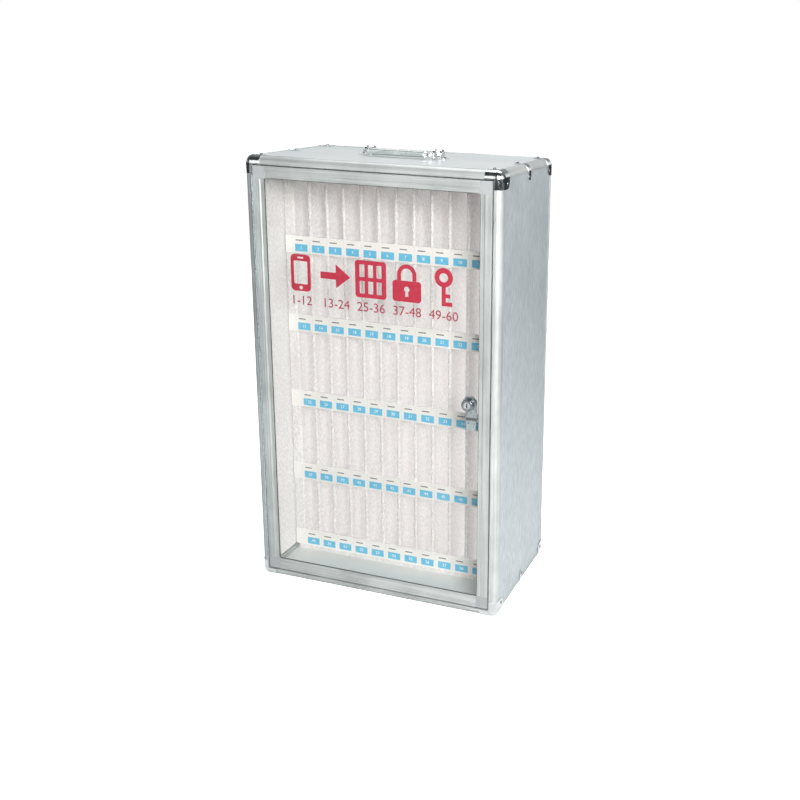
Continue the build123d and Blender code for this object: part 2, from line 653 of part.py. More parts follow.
def side_pad(side):
    x0 = side * PAD_SIDE
    x1 = side * (SIDE - PANEL_INNER)
    return block(
        min(x0, x1), FRONT + SIDE_PAD_SETBACK, BASE + PAD_END_GAP,
        max(x0, x1), BACK_PAD_FACE, TOP - PAD_END_GAP,
    )


def back_pad():
    x_edge = SIDE - PAD_END_GAP
    return block(
        -x_edge, BACK_PAD_FACE, BASE + PAD_END_GAP, x_edge, BACK - PANEL_INNER, TOP - PAD_END_GAP)


def floor_pad():
    x_edge = SIDE - PAD_END_GAP
    return block(
        -x_edge, FRONT + FLOOR_PAD_SETBACK, BASE + PANEL_INNER,
        x_edge, BACK_PAD_FACE, tier_bottom(TIERS),
    )


# --- Carrying handle --------------------------------------------------------------------
def handle_mount(side):
    """Foot with two ears around an eye of the bail."""
    inner = BAIL_WIDTH / 2 + MOUNT_EAR_GAP
    outer = inner + MOUNT_EAR
    x = side * HANDLE_SPACING / 2
    z0 = TOP - PANEL_SKIN
    foot_in = x - side * outer
    foot_out = x + side * (outer + MOUNT_FLANGE)
    foot = block(
        min(foot_in, foot_out), HANDLE_Y - MOUNT_LENGTH / 2, z0,
        max(foot_in, foot_out), HANDLE_Y + MOUNT_LENGTH / 2, z0 + MOUNT_SHEET,
    )
    mount = fillet(foot.edges().filter_by(Axis.Z), MOUNT_ROUNDING)
    ear_top = Circle(MOUNT_EAR_RADIUS)
    ear_foot = Pos(0, -HANDLE_PIVOT_HEIGHT / 2 + MOUNT_SHEET / 2)
    ear_foot *= Rectangle(2 * MOUNT_EAR_RADIUS, HANDLE_PIVOT_HEIGHT - MOUNT_SHEET)
    outline = ear_top + ear_foot
    outline &= Pos(0, MOUNT_EAR_RADIUS) * Rectangle(
        4 * MOUNT_EAR_RADIUS, 2 * (HANDLE_PIVOT_HEIGHT - MOUNT_SHEET + MOUNT_EAR_RADIUS))
    for x_in in (x - outer, x + inner):
        plane = Plane(origin=(x_in, HANDLE_Y, HANDLE_Z), x_dir=(0, 1, 0), z_dir=(1, 0, 0))
        mount += extrude(plane * outline, amount=MOUNT_EAR)
    return mount - pivot_bar(x, 2 * outer + 2, HANDLE_PIN_RADIUS + HANDLE_PIN_PLAY)


def pivot_bar(x, length, radius):
    """A round bar along X on the handle's pivot line."""
    return Pos(x, HANDLE_Y, HANDLE_Z) * Rot(0, 90, 0) * Cylinder(radius, length)


def handle_pin(side):
    length = BAIL_WIDTH + 2 * MOUNT_EAR_GAP + 2 * MOUNT_EAR
    return pivot_bar(side * HANDLE_SPACING / 2, length, HANDLE_PIN_RADIUS)


def handle_bail():
    """U-shaped bail, folded towards the front, with an eye at each end."""
    half = HANDLE_SPACING / 2
    grip_y = HANDLE_Y - HANDLE_REACH
    path = FilletPolyline(
        (-half, HANDLE_Y, HANDLE_Z), (-half, grip_y, HANDLE_Z),
        (half, grip_y, HANDLE_Z), (half, HANDLE_Y, HANDLE_Z), radius=BAIL_BEND,
    )
    start = Plane(origin=(-half, HANDLE_Y, HANDLE_Z), x_dir=(1, 0, 0), z_dir=(0, -1, 0))
    bail = sweep(start * Rectangle(BAIL_WIDTH, BAIL_THICK), path=path)
    for side in (-1, 1):
        bail += pivot_bar(side * half, BAIL_WIDTH, BAIL_EYE_RADIUS)
    for side in (-1, 1):
        bail -= pivot_bar(side * half, 2 * BAIL_WIDTH, HANDLE_PIN_RADIUS + HANDLE_PIN_PLAY)
    return bail


def handle_grip():
    """Flat sleeve around the middle of the bail."""
    centre = Pos(0, HANDLE_Y - HANDLE_REACH, HANDLE_Z)
    sleeve = fillet(
        Box(GRIP_LENGTH, GRIP_WIDTH, GRIP_THICK).edges().filter_by(Axis.X), GRIP_ROUNDING)
    bore = Box(GRIP_LENGTH + 2, BAIL_WIDTH + 2 * GRIP_FIT, BAIL_THICK + 2 * GRIP_FIT)
    return centre * (sleeve - bore)


# --- The whole cabinet --------------------------------------------------------------------
def cabinet_nodes():
    form = outer_form(0)
    shell = sheet_shell()
    sides = {"left": -1, "right": 1}
    levels = {"bottom": -1, "top": 1}
    faces = {"front": -1, "back": 1}
    nodes = {}
    for face, sy in faces.items():
        for side, sx in sides.items():
            nodes[face + "_post_" + side] = post(sx, sy)
        for level, sz in levels.items():
            nodes[face + "_rail_" + level] = cross_rail(sy, sz)
        nodes["corner_caps_" + face] = Compound(
            children=[corner_cap(sx, sy, sz, shell) for sx in (-1, 1) for sz in (-1, 1)])
    for side, sx in sides.items():
        nodes["side_panel_" + side] = side_panel(sx)
        for level, sz in levels.items():
            nodes["side_rail_" + level + "_" + side] = side_rail(sx, sz)
    nodes["top_panel"] = level_panel(1)
    nodes["bottom_panel"] = level_panel(-1)
    nodes["back_panel"] = back_panel()
    nodes["corner_connectors"] = Compound(
        children=[corner_connector(*signs, form) for signs in corners()])
    nodes["edge_straps"] = Compound(
        children=[edge_strap(sx, sz, shell) for sx in (-1, 1) for sz in (-1, 1)])
    nodes["rivets"] = Compound(children=[rivet(*place) for place in rivet_places()])
    return nodes


def rack_nodes():
    nodes = {}
    for tier in range(1, TIERS + 1):
        nodes["shelf_" + str(tier)] = shelf(tier)
        nodes["dividers_" + str(tier)] = Compound(children=dividers(tier))
        nodes["label_strip_" + str(tier)] = label_strip(tier)
    nodes["label_cards"] = Compound(
        children=[label_card(tier) for tier in range(1, TIERS + 1)])
    nodes["side_pads"] = Compound(children=[side_pad(-1), side_pad(1)])
    nodes["back_pad"] = back_pad()
    nodes["floor_pad"] = floor_pad()
    return nodes


def door_nodes():
    return {
        "door_stile_left": stile(-1),
        "door_stile_right": stile(1),
        "door_rail_bottom": door_rail(-1),
        "door_rail_top": door_rail(1),
        "door_corner_blocks": Compound(
            children=[corner_block(sx, sz) for sx in (-1, 1) for sz in (-1, 1)]),
        "door_panel": glazing(),
        "door_gasket": gasket(),
        "hinge_leaf_cabinet": hinge_leaf(-SIDE + JOINT, 0),
        "hinge_leaf_door": hinge_leaf(-DOOR_SIDE - LEAF_SHEET, 1),
        "hinge_pin": hinge_pin(),
    }


def lock_nodes():
    return {
        "lock_body": lock_body(),
        "lock_nut": lock_nut(),
        "lock_plug": lock_plug(),
        "cam": cam(),
        "cam_screw": cam_screw(),
    }


def handle_nodes():
    return {
        "handle_mounts": Compound(children=[handle_mount(-1), handle_mount(1)]),
        "handle_pins": Compound(children=[handle_pin(-1), handle_pin(1)]),
        "handle_bail": handle_bail(),
        "handle_grip": handle_grip(),
    }


def main():
    os.makedirs("parts", exist_ok=True)
    groups = (cabinet_nodes, rack_nodes, door_nodes, lock_nodes, handle_nodes)
    for group in groups:
        for name, solid in group().items():
            export_step(solid, "parts/" + name + ".step")


main()
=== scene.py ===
import bmesh
import bpy
import math
from mathutils import Matrix, Vector, noise


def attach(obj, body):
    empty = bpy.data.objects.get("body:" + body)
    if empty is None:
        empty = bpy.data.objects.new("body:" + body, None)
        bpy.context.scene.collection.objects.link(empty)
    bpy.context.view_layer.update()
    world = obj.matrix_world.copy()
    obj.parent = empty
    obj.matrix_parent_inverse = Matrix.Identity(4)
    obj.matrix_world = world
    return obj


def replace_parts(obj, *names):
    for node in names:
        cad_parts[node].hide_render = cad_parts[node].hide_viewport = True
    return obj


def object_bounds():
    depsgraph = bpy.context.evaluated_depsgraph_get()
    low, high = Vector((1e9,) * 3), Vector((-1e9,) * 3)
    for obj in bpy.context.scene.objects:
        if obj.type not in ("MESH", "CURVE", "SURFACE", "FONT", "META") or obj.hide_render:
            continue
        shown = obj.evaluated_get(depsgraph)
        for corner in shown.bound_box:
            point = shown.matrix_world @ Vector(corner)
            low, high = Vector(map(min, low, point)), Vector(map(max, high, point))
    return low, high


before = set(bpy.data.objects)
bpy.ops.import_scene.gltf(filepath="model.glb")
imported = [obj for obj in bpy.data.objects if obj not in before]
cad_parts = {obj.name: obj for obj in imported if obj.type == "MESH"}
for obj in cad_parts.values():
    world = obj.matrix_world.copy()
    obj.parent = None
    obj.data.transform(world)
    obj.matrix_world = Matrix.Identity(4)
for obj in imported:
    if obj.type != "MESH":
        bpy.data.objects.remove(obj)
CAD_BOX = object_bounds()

# Finishes, printed cards, foam, rivets and studio for a phone locker: an aluminium-framed
# cabinet with a clear, lockable front door and five tiers of numbered foam slots.
# Lengths are metres, X to the right, Y to the back, Z up, as in the frame.
MM = 0.001
WELD = 0.002 * MM           # corners closer than this are one
FINE_WELD = 0.001 * MM
CUT_SNAP = 0.01 * MM        # a cut this close to a corner runs through it

# --- Camera -----------------------------------------------------------------------------
CAMERA_PLACE = (0.6979, -1.4294, 0.8717)
CAMERA_AZIMUTH = 16.66      # degrees, turned to the left of straight ahead
CAMERA_DIP = 13.64          # degrees, below level
CAMERA_ROLL = 1.74
CAMERA_LENS = 43.72
CAMERA_SENSOR = 36.0
CAMERA_SHIFT = (-0.2, -0.1264)

# --- Slot cards -------------------------------------------------------------------------
TIERS = 5
SLOTS = 12
INK = 0.05 * MM             # how far print stands before a card, and goes into it
FIGURES_AHEAD = 1.5 * INK   # middle of the slot numbers, before the card
BLANK_LEFT = 15.7 * MM      # unprinted start of a card
TILE_STEP = 31.75 * MM
CARD_SLIP = (-3.1, -2.4, 3.3, 0.2, 2.2)     # millimetres that each tier's print sits aside
NUMBER_BOX = (23.5 * MM, 12.4 * MM)
NUMBER_BOX_ROUNDING = 0.7 * MM
NUMBER_BOX_DROP = 18.9 * MM     # middle of a box, below the top of its card
NUMBER_SIZE = 7.6 * MM
NAME_RULE = (13.5 * MM, 1.9 * MM)
NAME_RULE_ROUNDING = 0.4 * MM
NAME_RULE_DROP = 6.2 * MM
NAME_RULE_SHIFT = -3.5 * MM
TILE_RULE = (0.35 * MM, 26.0 * MM)
TILE_RULE_ROUNDING = 0.1 * MM

# --- Door lettering ---------------------------------------------------------------------
VINYL = 0.12 * MM
SIGN_STEP = 61.0 * MM       # from one sign to the next
SIGN_Z = 539.0 * MM
RANGE_Z = 494.0 * MM
RANGE_SIZE = 21.0 * MM

# --- Grip of the handle -----------------------------------------------------------------
GRIP_ROUNDING = 2.0 * MM
GRIP_STEPS = 4              # steps round each edge
CHANNEL_INSET = 0.8 * MM    # middle of a channel, from the rounding beside it
CHANNEL_WIDTH = 1.3 * MM
CHANNEL_DEPTH = 1.6 * MM

# --- Sheets -----------------------------------------------------------------------------
SHEET_GLINT = 1.35          # index for the clear sheet's mirroring, a little below acrylic's
FLECK_SCALE = 340.0
FLECK_LEAN = 0.28           # radians that flecks lean, half of them to each side
FLECK_STRETCH = (1, 1, 0.16)

# --- Foam -------------------------------------------------------------------------------
FOAM_CUT = 9.0 * MM         # spacing of the mesh over a foam piece
FOAM_EDGE = 1.0 * MM
FOAM_RIPPLE = 0.45 * MM     # unevenness of knife-cut foam
FIN_NOSE = 2.5 * MM         # rounding of a fin's front edges
FIN_STEPS = 5
BEAD_SCALE = 330.0          # of the foam's beads, which are drawn out upwards
BEAD_STRETCH = (1, 1, 0.55)
# Painted glow: how strongly foam glows at a place along Y, though it is no lamp. It stands in for
# the light that wanders about inside white foam, which a thin fin loses at its front edge and
# keeps deep in a slot, and it lifts the shade there.
PAINTED_FOAM_GLOWS = ((-34 * MM, 0.12), (-28 * MM, 0.045), (-17 * MM, 0.095), (45 * MM, 0.29))
# Painted shade under the top: the share of that glow left there, and the heights over which it
# falls.
PAINTED_TOP_SHADE = (0.6, 540 * MM, 640 * MM)
FIN_LEAN = 0.35             # degrees that fins lean at random

# --- Studio -----------------------------------------------------------------------------
FLOOR_GLOW = 1.0            # the table's own light, towards the camera alone
FLOOR_RADIUS = 40.0
FLOOR_REACH = 3.0           # from the middle of the table
FLOOR_NEAR = (0.95, 0.95, 0.95, 1)
FLOOR_FAR = (0.14, 0.145, 0.15, 1)
FLOOR_FADE = (0.22, 0.75)   # FLOOR_FADE = (0.22, 0.75) # shares of that reach between which the table's colour darkens, a painted falloff of its light
ROOM_BEHIND = 0.22          # light from behind the camera, as a share of the light ahead
ROOM_BANDS = (              # the room's light, from straight down (0) to overhead (1)
    (0.47, (0.35, 0.35, 0.35, 1)), (0.49, (1, 1, 1, 1)), (0.57, (1, 1, 1, 1)),
    (0.64, (0.3, 0.31, 0.32, 1)), (0.9, (0.16, 0.17, 0.18, 1)),
)
SOFTBOXES = (               # name, place, what it looks at, width and height, watts
    ("ceiling", (0.0, 0.5, 2.5), (0, 0, 0.4), (2.2, 1.3), 24),
    ("right", (2.6, -0.5, 1.25), (0, 0, 0.5), (0.7, 1.4), 13),
    ("front_left", (-1.4, -2.7, 1.2), (0, 0, 0.4), (1.4, 1.6), 10),
    ("back", (-1.3, 2.4, 0.42), (0, 0, 0.36), (1.8, 0.7), 34),
    ("key", (1.25, -1.8, 1.2), (0, 0, 0.4), (1.0, 1.0), 65),
)
DARK_CARD = ((1.3, 0.9, 0.5), (0, 0, 0.4), (0.9, 1.4))     # place, what it looks at, size


# --- Node helpers -----------------------------------------------------------------------
def srgb(red, green, blue):
    """A display colour, 0 to 255, as the linear colour that shaders take."""
    def linear(value):
        value /= 255
        return value / 12.92 if value <= 0.04045 else ((value + 0.055) / 1.055) ** 2.4
    return (linear(red), linear(green), linear(blue), 1.0)


def add(tree, kind, inputs=None, **settings):
    """A new node. Each input is a value, or the socket that feeds it."""
    made = tree.nodes.new(kind)
    for name, value in settings.items():
        setattr(made, name, value)
    for name, value in (inputs or {}).items():
        if isinstance(value, bpy.types.NodeSocket):
            tree.links.new(value, made.inputs[name])
        else:
            made.inputs[name].default_value = value
    return made


def finish(name, **values):
    """A new material with its main shader. Underscores stand for spaces in socket names."""
    material = bpy.data.materials.new(name)
    material.use_nodes = True
    shader = material.node_tree.nodes["Principled BSDF"]
    for socket, value in values.items():
        shader.inputs[socket.replace("_", " ")].default_value = value
    return material, material.node_tree, shader


def spread(tree, stretch=(1, 1, 1)):
    """Object coordinates, stretched along the axes."""
    coordinates = add(tree, "ShaderNodeTexCoord").outputs["Object"]
    return add(tree, "ShaderNodeMapping", {"Vector": coordinates, "Scale": stretch}).outputs[0]


def grain(tree, scale, detail=4.0, stretch=(1, 1, 1)):
    """Cloudy noise from 0 to 1."""
    inputs = {"Vector": spread(tree, stretch), "Scale": scale, "Detail": detail}
    return add(tree, "ShaderNodeTexNoise", inputs).outputs["Fac"]


def levels(tree, value, low, high, start=0.0, end=1.0):
    """Carries values from start..end over to low..high."""
    inputs = {"Value": value, "From Min": start, "From Max": end, "To Min": low, "To Max": high}
    return add(tree, "ShaderNodeMapRange", inputs).outputs["Result"]


def tint(tree, value, *stops):
    """Colours along a ramp; each stop is a position and a colour."""
    ramp = add(tree, "ShaderNodeValToRGB", {"Fac": value})
    marks = ramp.color_ramp.elements
    while len(marks) < len(stops):
        marks.new(1.0)
    for mark, (position, colour) in zip(marks, stops):
        mark.position = position
        mark.color = colour
    return ramp.outputs["Color"]


def relief(tree, height, depth, under=None):
    """A normal from a height pattern; under is a coarser relief beneath it."""
    inputs = {"Height": height, "Distance": depth}
    if under is not None:
        inputs["Normal"] = under
    return add(tree, "ShaderNodeBump", inputs).outputs["Normal"]


def feed(tree, shader, **sources):
    """Links sources to a shader. Underscores stand for spaces in socket names."""
    for socket, source in sources.items():
        tree.links.new(source, shader.inputs[socket.replace("_", " ")])


# --- Finishes ---------------------------------------------------------------------------
def anodised(name, along, dark, light):
    """Satin anodised extrusion: drawing lines along its length, and handling marks."""
    material, tree, shader = finish(name, Metallic=0.6, IOR=1.45)
    stretch = [1.0, 1.0, 1.0]
    stretch["XYZ".index(along)] = 0.012
    lines = grain(tree, 1500, 3, stretch)
    streaks = grain(tree, 330, 4, stretch)
    clouds = grain(tree, 14, 6)
    marks = grain(tree, 170, 8)
    undulation = relief(tree, grain(tree, 60, 2, stretch), 0.15 * MM)
    tone = add(tree, "ShaderNodeMath", {0: streaks, 1: clouds}, operation="ADD").outputs[0]
    feed(
        tree, shader,
        Base_Color=tint(tree, levels(tree, tone, 0, 1, 0.7, 1.3), (0.1, dark), (0.9, light)),
        Roughness=levels(tree, marks, 0.42, 0.56, 0.3, 0.7),
        Normal=relief(tree, lines, 0.035 * MM, undulation),
    )
    return material


def slanted(tree, scale, turn, across):
    """Short upright flecks that lean by a turn, on a sheet whose normal is an axis."""
    tilt = [0.0, 0.0, 0.0]
    tilt["XYZ".index(across)] = turn
    leaning = add(
        tree, "ShaderNodeMapping", {"Vector": spread(tree), "Rotation": tilt}).outputs[0]
    drawn = add(
        tree, "ShaderNodeMapping", {"Vector": leaning, "Scale": FLECK_STRETCH}).outputs[0]
    inputs = {"Vector": drawn, "Scale": scale, "Detail": 3.0}
    return add(tree, "ShaderNodeTexNoise", inputs).outputs["Fac"]


def embossed(name, across, dark, light):
    """Coated aluminium sheet rolled with fine upright flecks that lean both ways."""
    material, tree, shader = finish(name, Metallic=0.35, IOR=1.5)
    patches = levels(tree, grain(tree, 38, 3, (1, 1, 0.4)), 0, 1, 0.42, 0.58)
    left, right = (
        slanted(tree, FLECK_SCALE, turn, across) for turn in (-FLECK_LEAN, FLECK_LEAN))
    flecks = add(
        tree, "ShaderNodeMix", {"Factor": patches, "A": left, "B": right}).outputs["Result"]
    fine = grain(tree, 900, 3, (1, 1, 0.3))
    tone = levels(tree, flecks, 0, 1, 0.36, 0.66)
    feed(
        tree, shader,
        Base_Color=tint(tree, tone, (0.0, dark), (1.0, light)),
        Roughness=levels(tree, grain(tree, 25, 6), 0.34, 0.5, 0.3, 0.7),
        Normal=relief(tree, flecks, 0.35 * MM, relief(tree, fine, 0.06 * MM)),
    )
    return material


def smooth_sheet(name, dark, light):
    """Coated aluminium sheet with a faint orange peel."""
    material, tree, shader = finish(name, Metallic=0.3, IOR=1.5)
    peel = grain(tree, 520, 3)
    feed(
        tree, shader,
        Base_Color=tint(tree, grain(tree, 7, 6), (0.3, dark), (0.7, light)),
        Roughness=levels(tree, grain(tree, 40, 6), 0.38, 0.5, 0.3, 0.7),
        Normal=relief(tree, peel, 0.05 * MM),
    )
    return material


def plated(name, dark, light):
    """Nickel-chrome plate with fingerprints, fine scuffs and the waviness of pressed sheet."""
    material, tree, shader = finish(name, Metallic=1.0, IOR=1.5)
    smudges = grain(tree, 95, 8)
    scuffs = grain(tree, 800, 4, (1, 1, 0.1))
    wear = add(tree, "ShaderNodeMath", {0: smudges, 1: scuffs}, operation="MULTIPLY").outputs[0]
    feed(
        tree, shader,
        Base_Color=tint(tree, smudges, (0.3, dark), (0.7, light)),
        Roughness=levels(tree, wear, 0.07, 0.26, 0.1, 0.45),
        Normal=relief(tree, grain(tree, 110, 2), 0.1 * MM),
    )
    return material


def zinc():
    """Zinc-plated steel: spangled tone, slightly dull."""
    material, tree, shader = finish("zinc_plate", Metallic=1.0, IOR=1.5)
    cells = add(
        tree, "ShaderNodeTexVoronoi", {"Vector": spread(tree), "Scale": 420.0}).outputs["Distance"]
    feed(
        tree, shader,
        Base_Color=tint(tree, cells, (0.1, srgb(160, 170, 176)), (0.8, srgb(192, 202, 207))),
        Roughness=levels(tree, grain(tree, 200, 6), 0.24, 0.42, 0.3, 0.7),
        Normal=relief(tree, grain(tree, 700, 3), 0.05 * MM),
    )
    return material


def moulded(name, dark, light, rough, sparkle=0.05):
    """Moulded plastic with an eroded mould texture."""
    material, tree, shader = finish(name, IOR=1.5, Specular_IOR_Level=0.5)
    feed(
        tree, shader,
        Base_Color=tint(tree, grain(tree, 30, 5), (0.3, dark), (0.7, light)),
        Roughness=levels(tree, grain(tree, 240, 6), rough - 0.07, rough + 0.07, 0.3, 0.7),
        Normal=relief(tree, grain(tree, 1100, 3), sparkle * MM),
    )
    return material


def rubber():
    """Dark seal rubber with a dull skin."""
    material, tree, shader = finish("seal_rubber", IOR=1.5, Specular_IOR_Level=0.35)
    feed(
        tree, shader,
        Base_Color=tint(
            tree, grain(tree, 60, 5), (0.3, srgb(62, 66, 66)), (0.7, srgb(84, 88, 87))),
        Roughness=levels(tree, grain(tree, 300, 5), 0.55, 0.75, 0.3, 0.7),
        Normal=relief(tree, grain(tree, 900, 3), 0.06 * MM),
    )
    return material


def foam():
    """Closed-cell polyethylene foam: beads of a few millimetres with a soft, waxy gleam, and a
    painted glow.
    """
    material, tree, shader = finish(
        "white_foam", IOR=1.45, Specular_IOR_Level=0.4, Subsurface_Weight=0.6,
        Subsurface_Radius=(1.0, 0.9, 0.85), Subsurface_Scale=8 * MM)
    beads = add(
        tree, "ShaderNodeTexVoronoi",
        {"Vector": spread(tree, BEAD_STRETCH), "Scale": BEAD_SCALE, "Randomness": 1.0},
        feature="F1").outputs["Distance"]
    pores = grain(tree, 1300, 3)
    clouds = grain(tree, 22, 5, (1, 1, 0.3))
    soft = levels(tree, clouds, -0.12, 0.12, 0.3, 0.7)
    front, deep = PAINTED_FOAM_GLOWS[0][0], PAINTED_FOAM_GLOWS[-1][0]
    place = add(tree, "ShaderNodeSeparateXYZ", {"Vector": spread(tree)}).outputs
    painted_glows = [
        ((y - front) / (deep - front), (glow, glow, glow, 1))
        for y, glow in PAINTED_FOAM_GLOWS]
    tone = add(tree, "ShaderNodeMath", {0: beads, 1: soft}, operation="ADD").outputs[0]
    feed(
        tree, shader,
        Base_Color=tint(
            tree, tone, (0.08, srgb(235, 233, 234)), (0.35, srgb(226, 224, 224)),
            (0.62, srgb(214, 211, 211))),
        # painted light: a glow by place along Y that lifts the shade deep in the slots
        Emission_Color=tint(tree, levels(tree, place["Y"], 0, 1, front, deep), *painted_glows),
        # painted shade under the top: the glow fades over those heights
        Emission_Strength=levels(tree, place["Z"], 1, *PAINTED_TOP_SHADE),
        Roughness=levels(tree, beads, 0.42, 0.66),
        Normal=relief(tree, beads, 0.5 * MM, relief(tree, pores, 0.12 * MM)),
    )
    return material


def paper():
    """Smooth printed card."""
    material, tree, shader = finish("card", IOR=1.45, Specular_IOR_Level=0.35)
    fibres = grain(tree, 900, 5, (0.4, 1, 1))
    feed(
        tree, shader,
        Base_Color=tint(tree, fibres, (0.3, srgb(234, 233, 230)), (0.7, srgb(241, 239, 236))),
        Roughness=levels(tree, fibres, 0.42, 0.58, 0.3, 0.7),
        Normal=relief(tree, fibres, 0.03 * MM),
    )
    return material


def ink(name, dark, light, rough=0.4):
    """Printing ink or cut vinyl: faintly uneven colour with a fine skin."""
    material, tree, shader = finish(name, IOR=1.5, Specular_IOR_Level=0.4)
    feed(
        tree, shader,
        Base_Color=tint(tree, grain(tree, 160, 6), (0.3, dark), (0.7, light)),
        Roughness=levels(tree, grain(tree, 70, 6), rough - 0.08, rough + 0.08, 0.3, 0.7),
        Normal=relief(tree, grain(tree, 700, 2), 0.02 * MM),
    )
    return material


def clear_sheet():
    """Clear acrylic: passes light straight through, and mirrors more at a slant."""
    material, tree, shader = finish("clear_sheet", IOR=1.49, Metallic=1.0)
    film = grain(tree, 12, 6)
    feed(
        tree, shader,
        Base_Color=tint(tree, film, (0.3, srgb(236, 240, 240)), (0.7, srgb(250, 252, 252))),
        Roughness=levels(tree, film, 0.02, 0.06, 0.3, 0.7),
    )
    through = add(tree, "ShaderNodeBsdfTransparent", {"Color": srgb(254, 254, 253)})
    slant = add(tree, "ShaderNodeFresnel", {"IOR": SHEET_GLINT}).outputs["Fac"]
    inside = add(tree, "ShaderNodeNewGeometry").outputs["Backfacing"]
    outer = add(tree, "ShaderNodeMath", {0: 1.0, 1: inside}, operation="SUBTRACT").outputs[0]
    mirrored = add(tree, "ShaderNodeMath", {0: slant, 1: outer}, operation="MULTIPLY").outputs[0]
    both = add(
        tree, "ShaderNodeMixShader",
        {0: mirrored, 1: through.outputs[0], 2: shader.outputs[0]})
    tree.links.new(both.outputs[0], tree.nodes["Material Output"].inputs["Surface"])
    return material


def dress(material, *names):
    """Gives a finish to nodes of the frame as they stand."""
    for name in names:
        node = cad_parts[name]
        if not node.material_slots:
            node.data.materials.append(material)
        for slot in node.material_slots:
            slot.material = material


# --- Mesh helpers -----------------------------------------------------------------------
def in_scene(name, data):
    """A new object in the scene."""
    made = bpy.data.objects.new(name, data)
    bpy.context.scene.collection.objects.link(made)
    return made


def meshed(name, bm):
    """Turns a finished bmesh into a mesh."""
    mesh = bpy.data.meshes.new(name)
    bm.to_mesh(mesh)
    bm.free()
    return mesh


def extruded(outline, offset):
    """The bmesh of a closed flat outline that is pushed along an offset."""
    bm = bmesh.new()
    base = bm.faces.new([bm.verts.new(point) for point in outline])
    made = bmesh.ops.extrude_face_region(bm, geom=[base])
    moved = [item for item in made["geom"] if isinstance(item, bmesh.types.BMVert)]
    bmesh.ops.translate(bm, verts=moved, vec=offset)
    bmesh.ops.recalc_face_normals(bm, faces=bm.faces)
    return bm


def piece(name, mesh, material, body):
    """A finished mesh as a piece that rides on a body."""
    made = in_scene(name, mesh)
    mesh.materials.clear()
    mesh.materials.append(material)
    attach(made, body)
    return made


def islands(node):
    """The boxes of a node's separate solids, lowest corner and highest corner of each."""
    bm = bmesh.new()
    bm.from_mesh(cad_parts[node].data)
    bmesh.ops.remove_doubles(bm, verts=bm.verts, dist=WELD)
    unseen = set(bm.verts)
    boxes = []
    while unseen:
        front = [unseen.pop()]
        group = []
        while front:
            vertex = front.pop()
            group.append(vertex.co.copy())
            near = {edge.other_vert(vertex) for edge in vertex.link_edges} & unseen
            unseen -= near
            front.extend(near)
        low = Vector(min(point[axis] for point in group) for axis in range(3))
        high = Vector(max(point[axis] for point in group) for axis in range(3))
        boxes.append((low, high))
    bm.free()
    return sorted(boxes, key=lambda box: tuple(round(value, 5) for value in box[0]))


def cut_across(bm, step):
    """Cuts a mesh across at even places, so that it can be shaped finely."""
    for axis in range(3):
        low = min(vertex.co[axis] for vertex in bm.verts)
        high = max(vertex.co[axis] for vertex in bm.verts)
        count = max(1, round((high - low) / step))
        for i in range(1, count):
            place = Vector()
            place[axis] = low + (high - low) * i / count
            direction = Vector()
            direction[axis] = 1
            everything = bm.verts[:] + bm.edges[:] + bm.faces[:]
            bmesh.ops.bisect_plane(
                bm, geom=everything, plane_co=place, plane_no=direction, dist=CUT_SNAP)


def joined(name, meshes):
    """One mesh made of several, which are used up."""
    bm = bmesh.new()
    for mesh in meshes:
        bm.from_mesh(mesh)
        bpy.data.meshes.remove(mesh)
    bmesh.ops.remove_doubles(bm, verts=bm.verts, dist=WELD)
    return meshed(name, bm)


def smooth_faces(mesh, angle=40):
    """Smooth shading, with creases where faces meet more sharply than the angle."""
    mesh.polygons.foreach_set("use_smooth", [True] * len(mesh.polygons))
    mesh.set_sharp_from_angle(angle=math.radians(angle))
    mesh.update()


# --- Geometry trees ---------------------------------------------------------------------
def new_tree(name, sockets):
    """A geometry tree with its named inputs, and its input and output nodes."""
    tree = bpy.data.node_groups.new(name, "GeometryNodeTree")
    for label, kind in sockets:
        tree.interface.new_socket(name=label, in_out="INPUT", socket_type="NodeSocket" + kind)
    tree.interface.new_socket(
        name="Geometry", in_out="OUTPUT", socket_type="NodeSocketGeometry")
    return tree, add(tree, "NodeGroupInput").outputs


def close_tree(tree, geometry, material):
    """Ends a tree: its instances become real, and take their finish."""
    real = add(tree, "GeometryNodeRealizeInstances", {"Geometry": geometry}).outputs[0]
    painted = add(tree, "GeometryNodeSetMaterial", {"Geometry": real, "Material": material})
    add(tree, "NodeGroupOutput", {"Geometry": painted.outputs[0]})
    return tree


def made_by(tree, name, start, values, body):
    """Runs a geometry tree on a start mesh, and keeps the result as a plain piece."""
    made = in_scene(name, start)
    modifier = made.modifiers.new("shape", "NODES")
    modifier.node_group = tree
    for item in tree.interface.items_tree:
        if item.in_out == "INPUT" and item.name in values:
            modifier[item.identifier] = values[item.name]
    evaluated = made.evaluated_get(bpy.context.evaluated_depsgraph_get())
    result = bpy.data.meshes.new_from_object(evaluated)
    made.modifiers.remove(modifier)
    made.data = result
    smooth_faces(result)
    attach(made, body)
    return made


